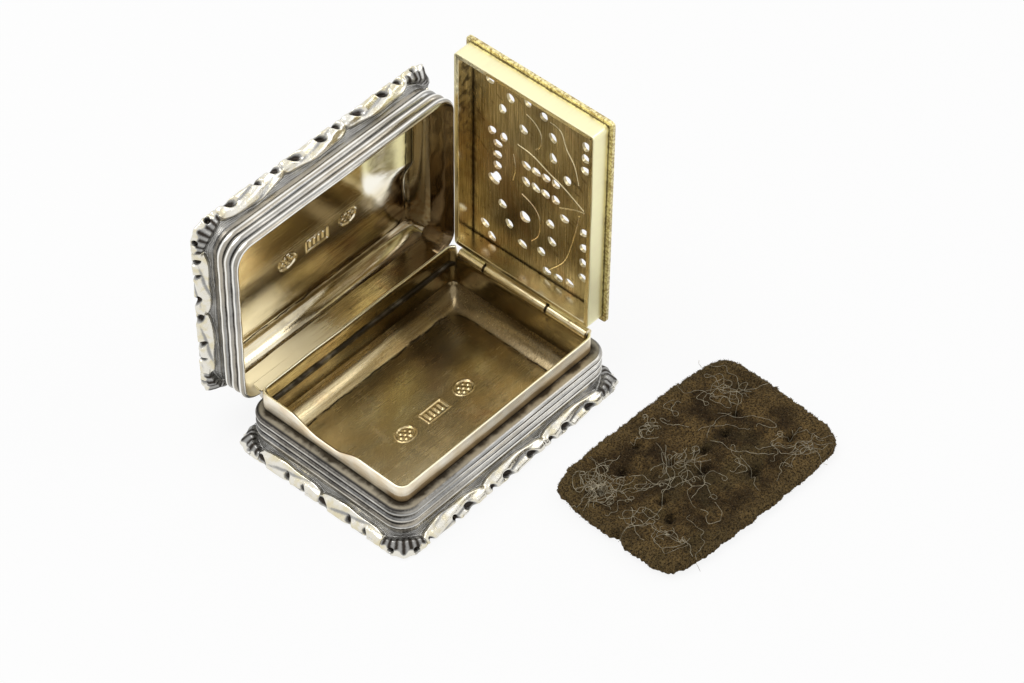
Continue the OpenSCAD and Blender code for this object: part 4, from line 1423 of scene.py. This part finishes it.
strand = fibre.node("GeometryNodeCurvePrimitiveCircle", {}, {"Resolution": 3, "Radius": given("Radius")})
laid = fibre.node("GeometryNodeCurveToMesh", {}, {0: laid, 1: strand, 3: True})
end_tree(laid, given("Finish"))


def fibre_kinds(name, count, steps, step, curl):
    """Some fibres to pick from, each a chain of short steps that wanders as it goes."""
    made = bpy.data.collections.new(name)
    for kind in range(count):
        points, heading = [Vector((0, 0, 0))], kind * 2.1
        for number in range(steps):
            heading += curl * noise.noise(Vector((number * 0.21, kind * 3.7, 5)))
            points.append(points[-1] + step * Vector((math.cos(heading), math.sin(heading), 0)))
        middle = sum(points, Vector()) / len(points)
        mesh = bpy.data.meshes.new(f"{name}_{kind}")
        mesh.from_pydata([p - middle for p in points], [(i, i + 1) for i in range(steps)], [])
        made.objects.link(bpy.data.objects.new(f"{name}_{kind}", mesh))
    return made


def fibre_finish(name, colour, shade):
    """Dry fibre, a little lighter and darker from place to place."""
    return finish_of(name, lambda place: {
        "Base Color": place.noise(0.8, 2).rise(0.3, 0.7).mix(colour, shade),
        "Roughness": 0.8, "Metallic": 0, "Relief": 0, "Depth": 0,
    })


onto_table = Matrix.Translation(pad_middle) @ Matrix.Rotation(pad_turn, 4, "Z")
fibre_sorts = {
    "sponge_fuzz": {
        "Share": "fuzz_share", "Density": 16 / mm ** 2, "Fibres": fibre_kinds("fuzz", 5, 2, 0.2 * mm, 1.6),
        "Turn Low": (-1.3, -1.3, -math.pi), "Turn High": (1.3, 1.3, math.pi), "Drape": 0, "Lift": 0,
        "Radius": 0.024 * mm, "Seed": 5,
        "Finish": fibre_finish("brown_fibre", (0.15, 0.1, 0.036, 1), (0.06, 0.04, 0.015, 1)),
    },
    "sponge_threads": {
        "Share": "thread_share", "Density": 1.6 / mm ** 2,
        "Fibres": fibre_kinds("thread", 11, 44, 0.2 * mm, 1.1),
        "Turn Low": (0, 0, -math.pi), "Turn High": (0, 0, math.pi), "Drape": 1, "Lift": 0.3 * mm,
        "Radius": 0.028 * mm, "Seed": 9,
        "Finish": fibre_finish("pale_fibre", (0.55, 0.49, 0.35, 1), (0.25, 0.21, 0.135, 1)),
    },
}
for name, values in fibre_sorts.items():
    fibres = grown(name, sponge.data.copy(), fibre_tree, 0.0005 * mm, values)
    fibres.data.transform(onto_table)
    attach(fibres, "sponge")
sponge.data.transform(onto_table)
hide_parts("sponge")
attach(sponge, "sponge")

# The table and the light: a plain pale sheet of paper and two soft lamps. What the metal mirrors of the
# background is white as well, and the table keeps the object's shadow.
table_half = 1.5
table = mesh_object("table", [
    (-table_half, -table_half, 0), (table_half, -table_half, 0),
    (table_half, table_half, 0), (-table_half, table_half, 0),
], [(0, 1, 2, 3)], smooth=False)
paper = bpy.data.materials.new("pale_paper")
paper.use_nodes = True
paper.node_tree.nodes.remove(paper.node_tree.nodes["Principled BSDF"])


def seen_on(surface):
    """1 for what the camera or a mirroring surface sees, 0 for what only throws light on the object."""
    camera_ray = surface.node("ShaderNodeLightPath", {}, {}, "Is Camera Ray")
    mirrored = camera_ray.beside("Is Glossy Ray").most(camera_ray.beside("Is Transmission Ray"))
    return camera_ray.most(mirrored)


paper_glow = 0.88
sheet = Wire(paper.node_tree)
matt = sheet.node("ShaderNodeBsdfDiffuse", {}, {"Color": (0.85, 0.85, 0.85, 1)})
white = sheet.node("ShaderNodeEmission", {}, {"Color": (1, 1, 1, 1), "Strength": 1})
glow = seen_on(sheet) * paper_glow
paper_look = sheet.node("ShaderNodeMixShader", {}, {0: glow, 1: matt, 2: white})
paper.node_tree.links.new(paper_look.socket, paper.node_tree.nodes["Material Output"].inputs["Surface"])
table.data.materials.append(paper)

world = bpy.data.worlds.new("studio")
world.use_nodes = True
scene.world = world
room_level = 0.55
backdrop = world.node_tree.nodes["Background"]
backdrop.inputs["Color"].default_value = (1, 1, 1, 1)
sky = seen_on(Wire(world.node_tree)) * (1 - room_level) + room_level
world.node_tree.links.new(sky.socket, backdrop.inputs["Strength"])


def soft_lamp(name, place, size, power):
    """A round soft lamp turned to the object."""
    lamp = bpy.data.lights.new(name, "AREA")
    lamp.shape = "DISK"
    lamp.size = size
    lamp.energy = power
    holder = bpy.data.objects.new(name, lamp)
    holder.location = place
    holder.rotation_euler = (lamp_aim - Vector(place)).to_track_quat("-Z", "Y").to_euler()
    scene.collection.objects.link(holder)


lamp_aim = Vector((0, 0, 0.01))
soft_lamp("key_lamp", (-0.1, 0.15, 0.6), 0.5, 1.8)
soft_lamp("fill_lamp", (0.45, -0.3, 0.4), 0.4, 0.6)
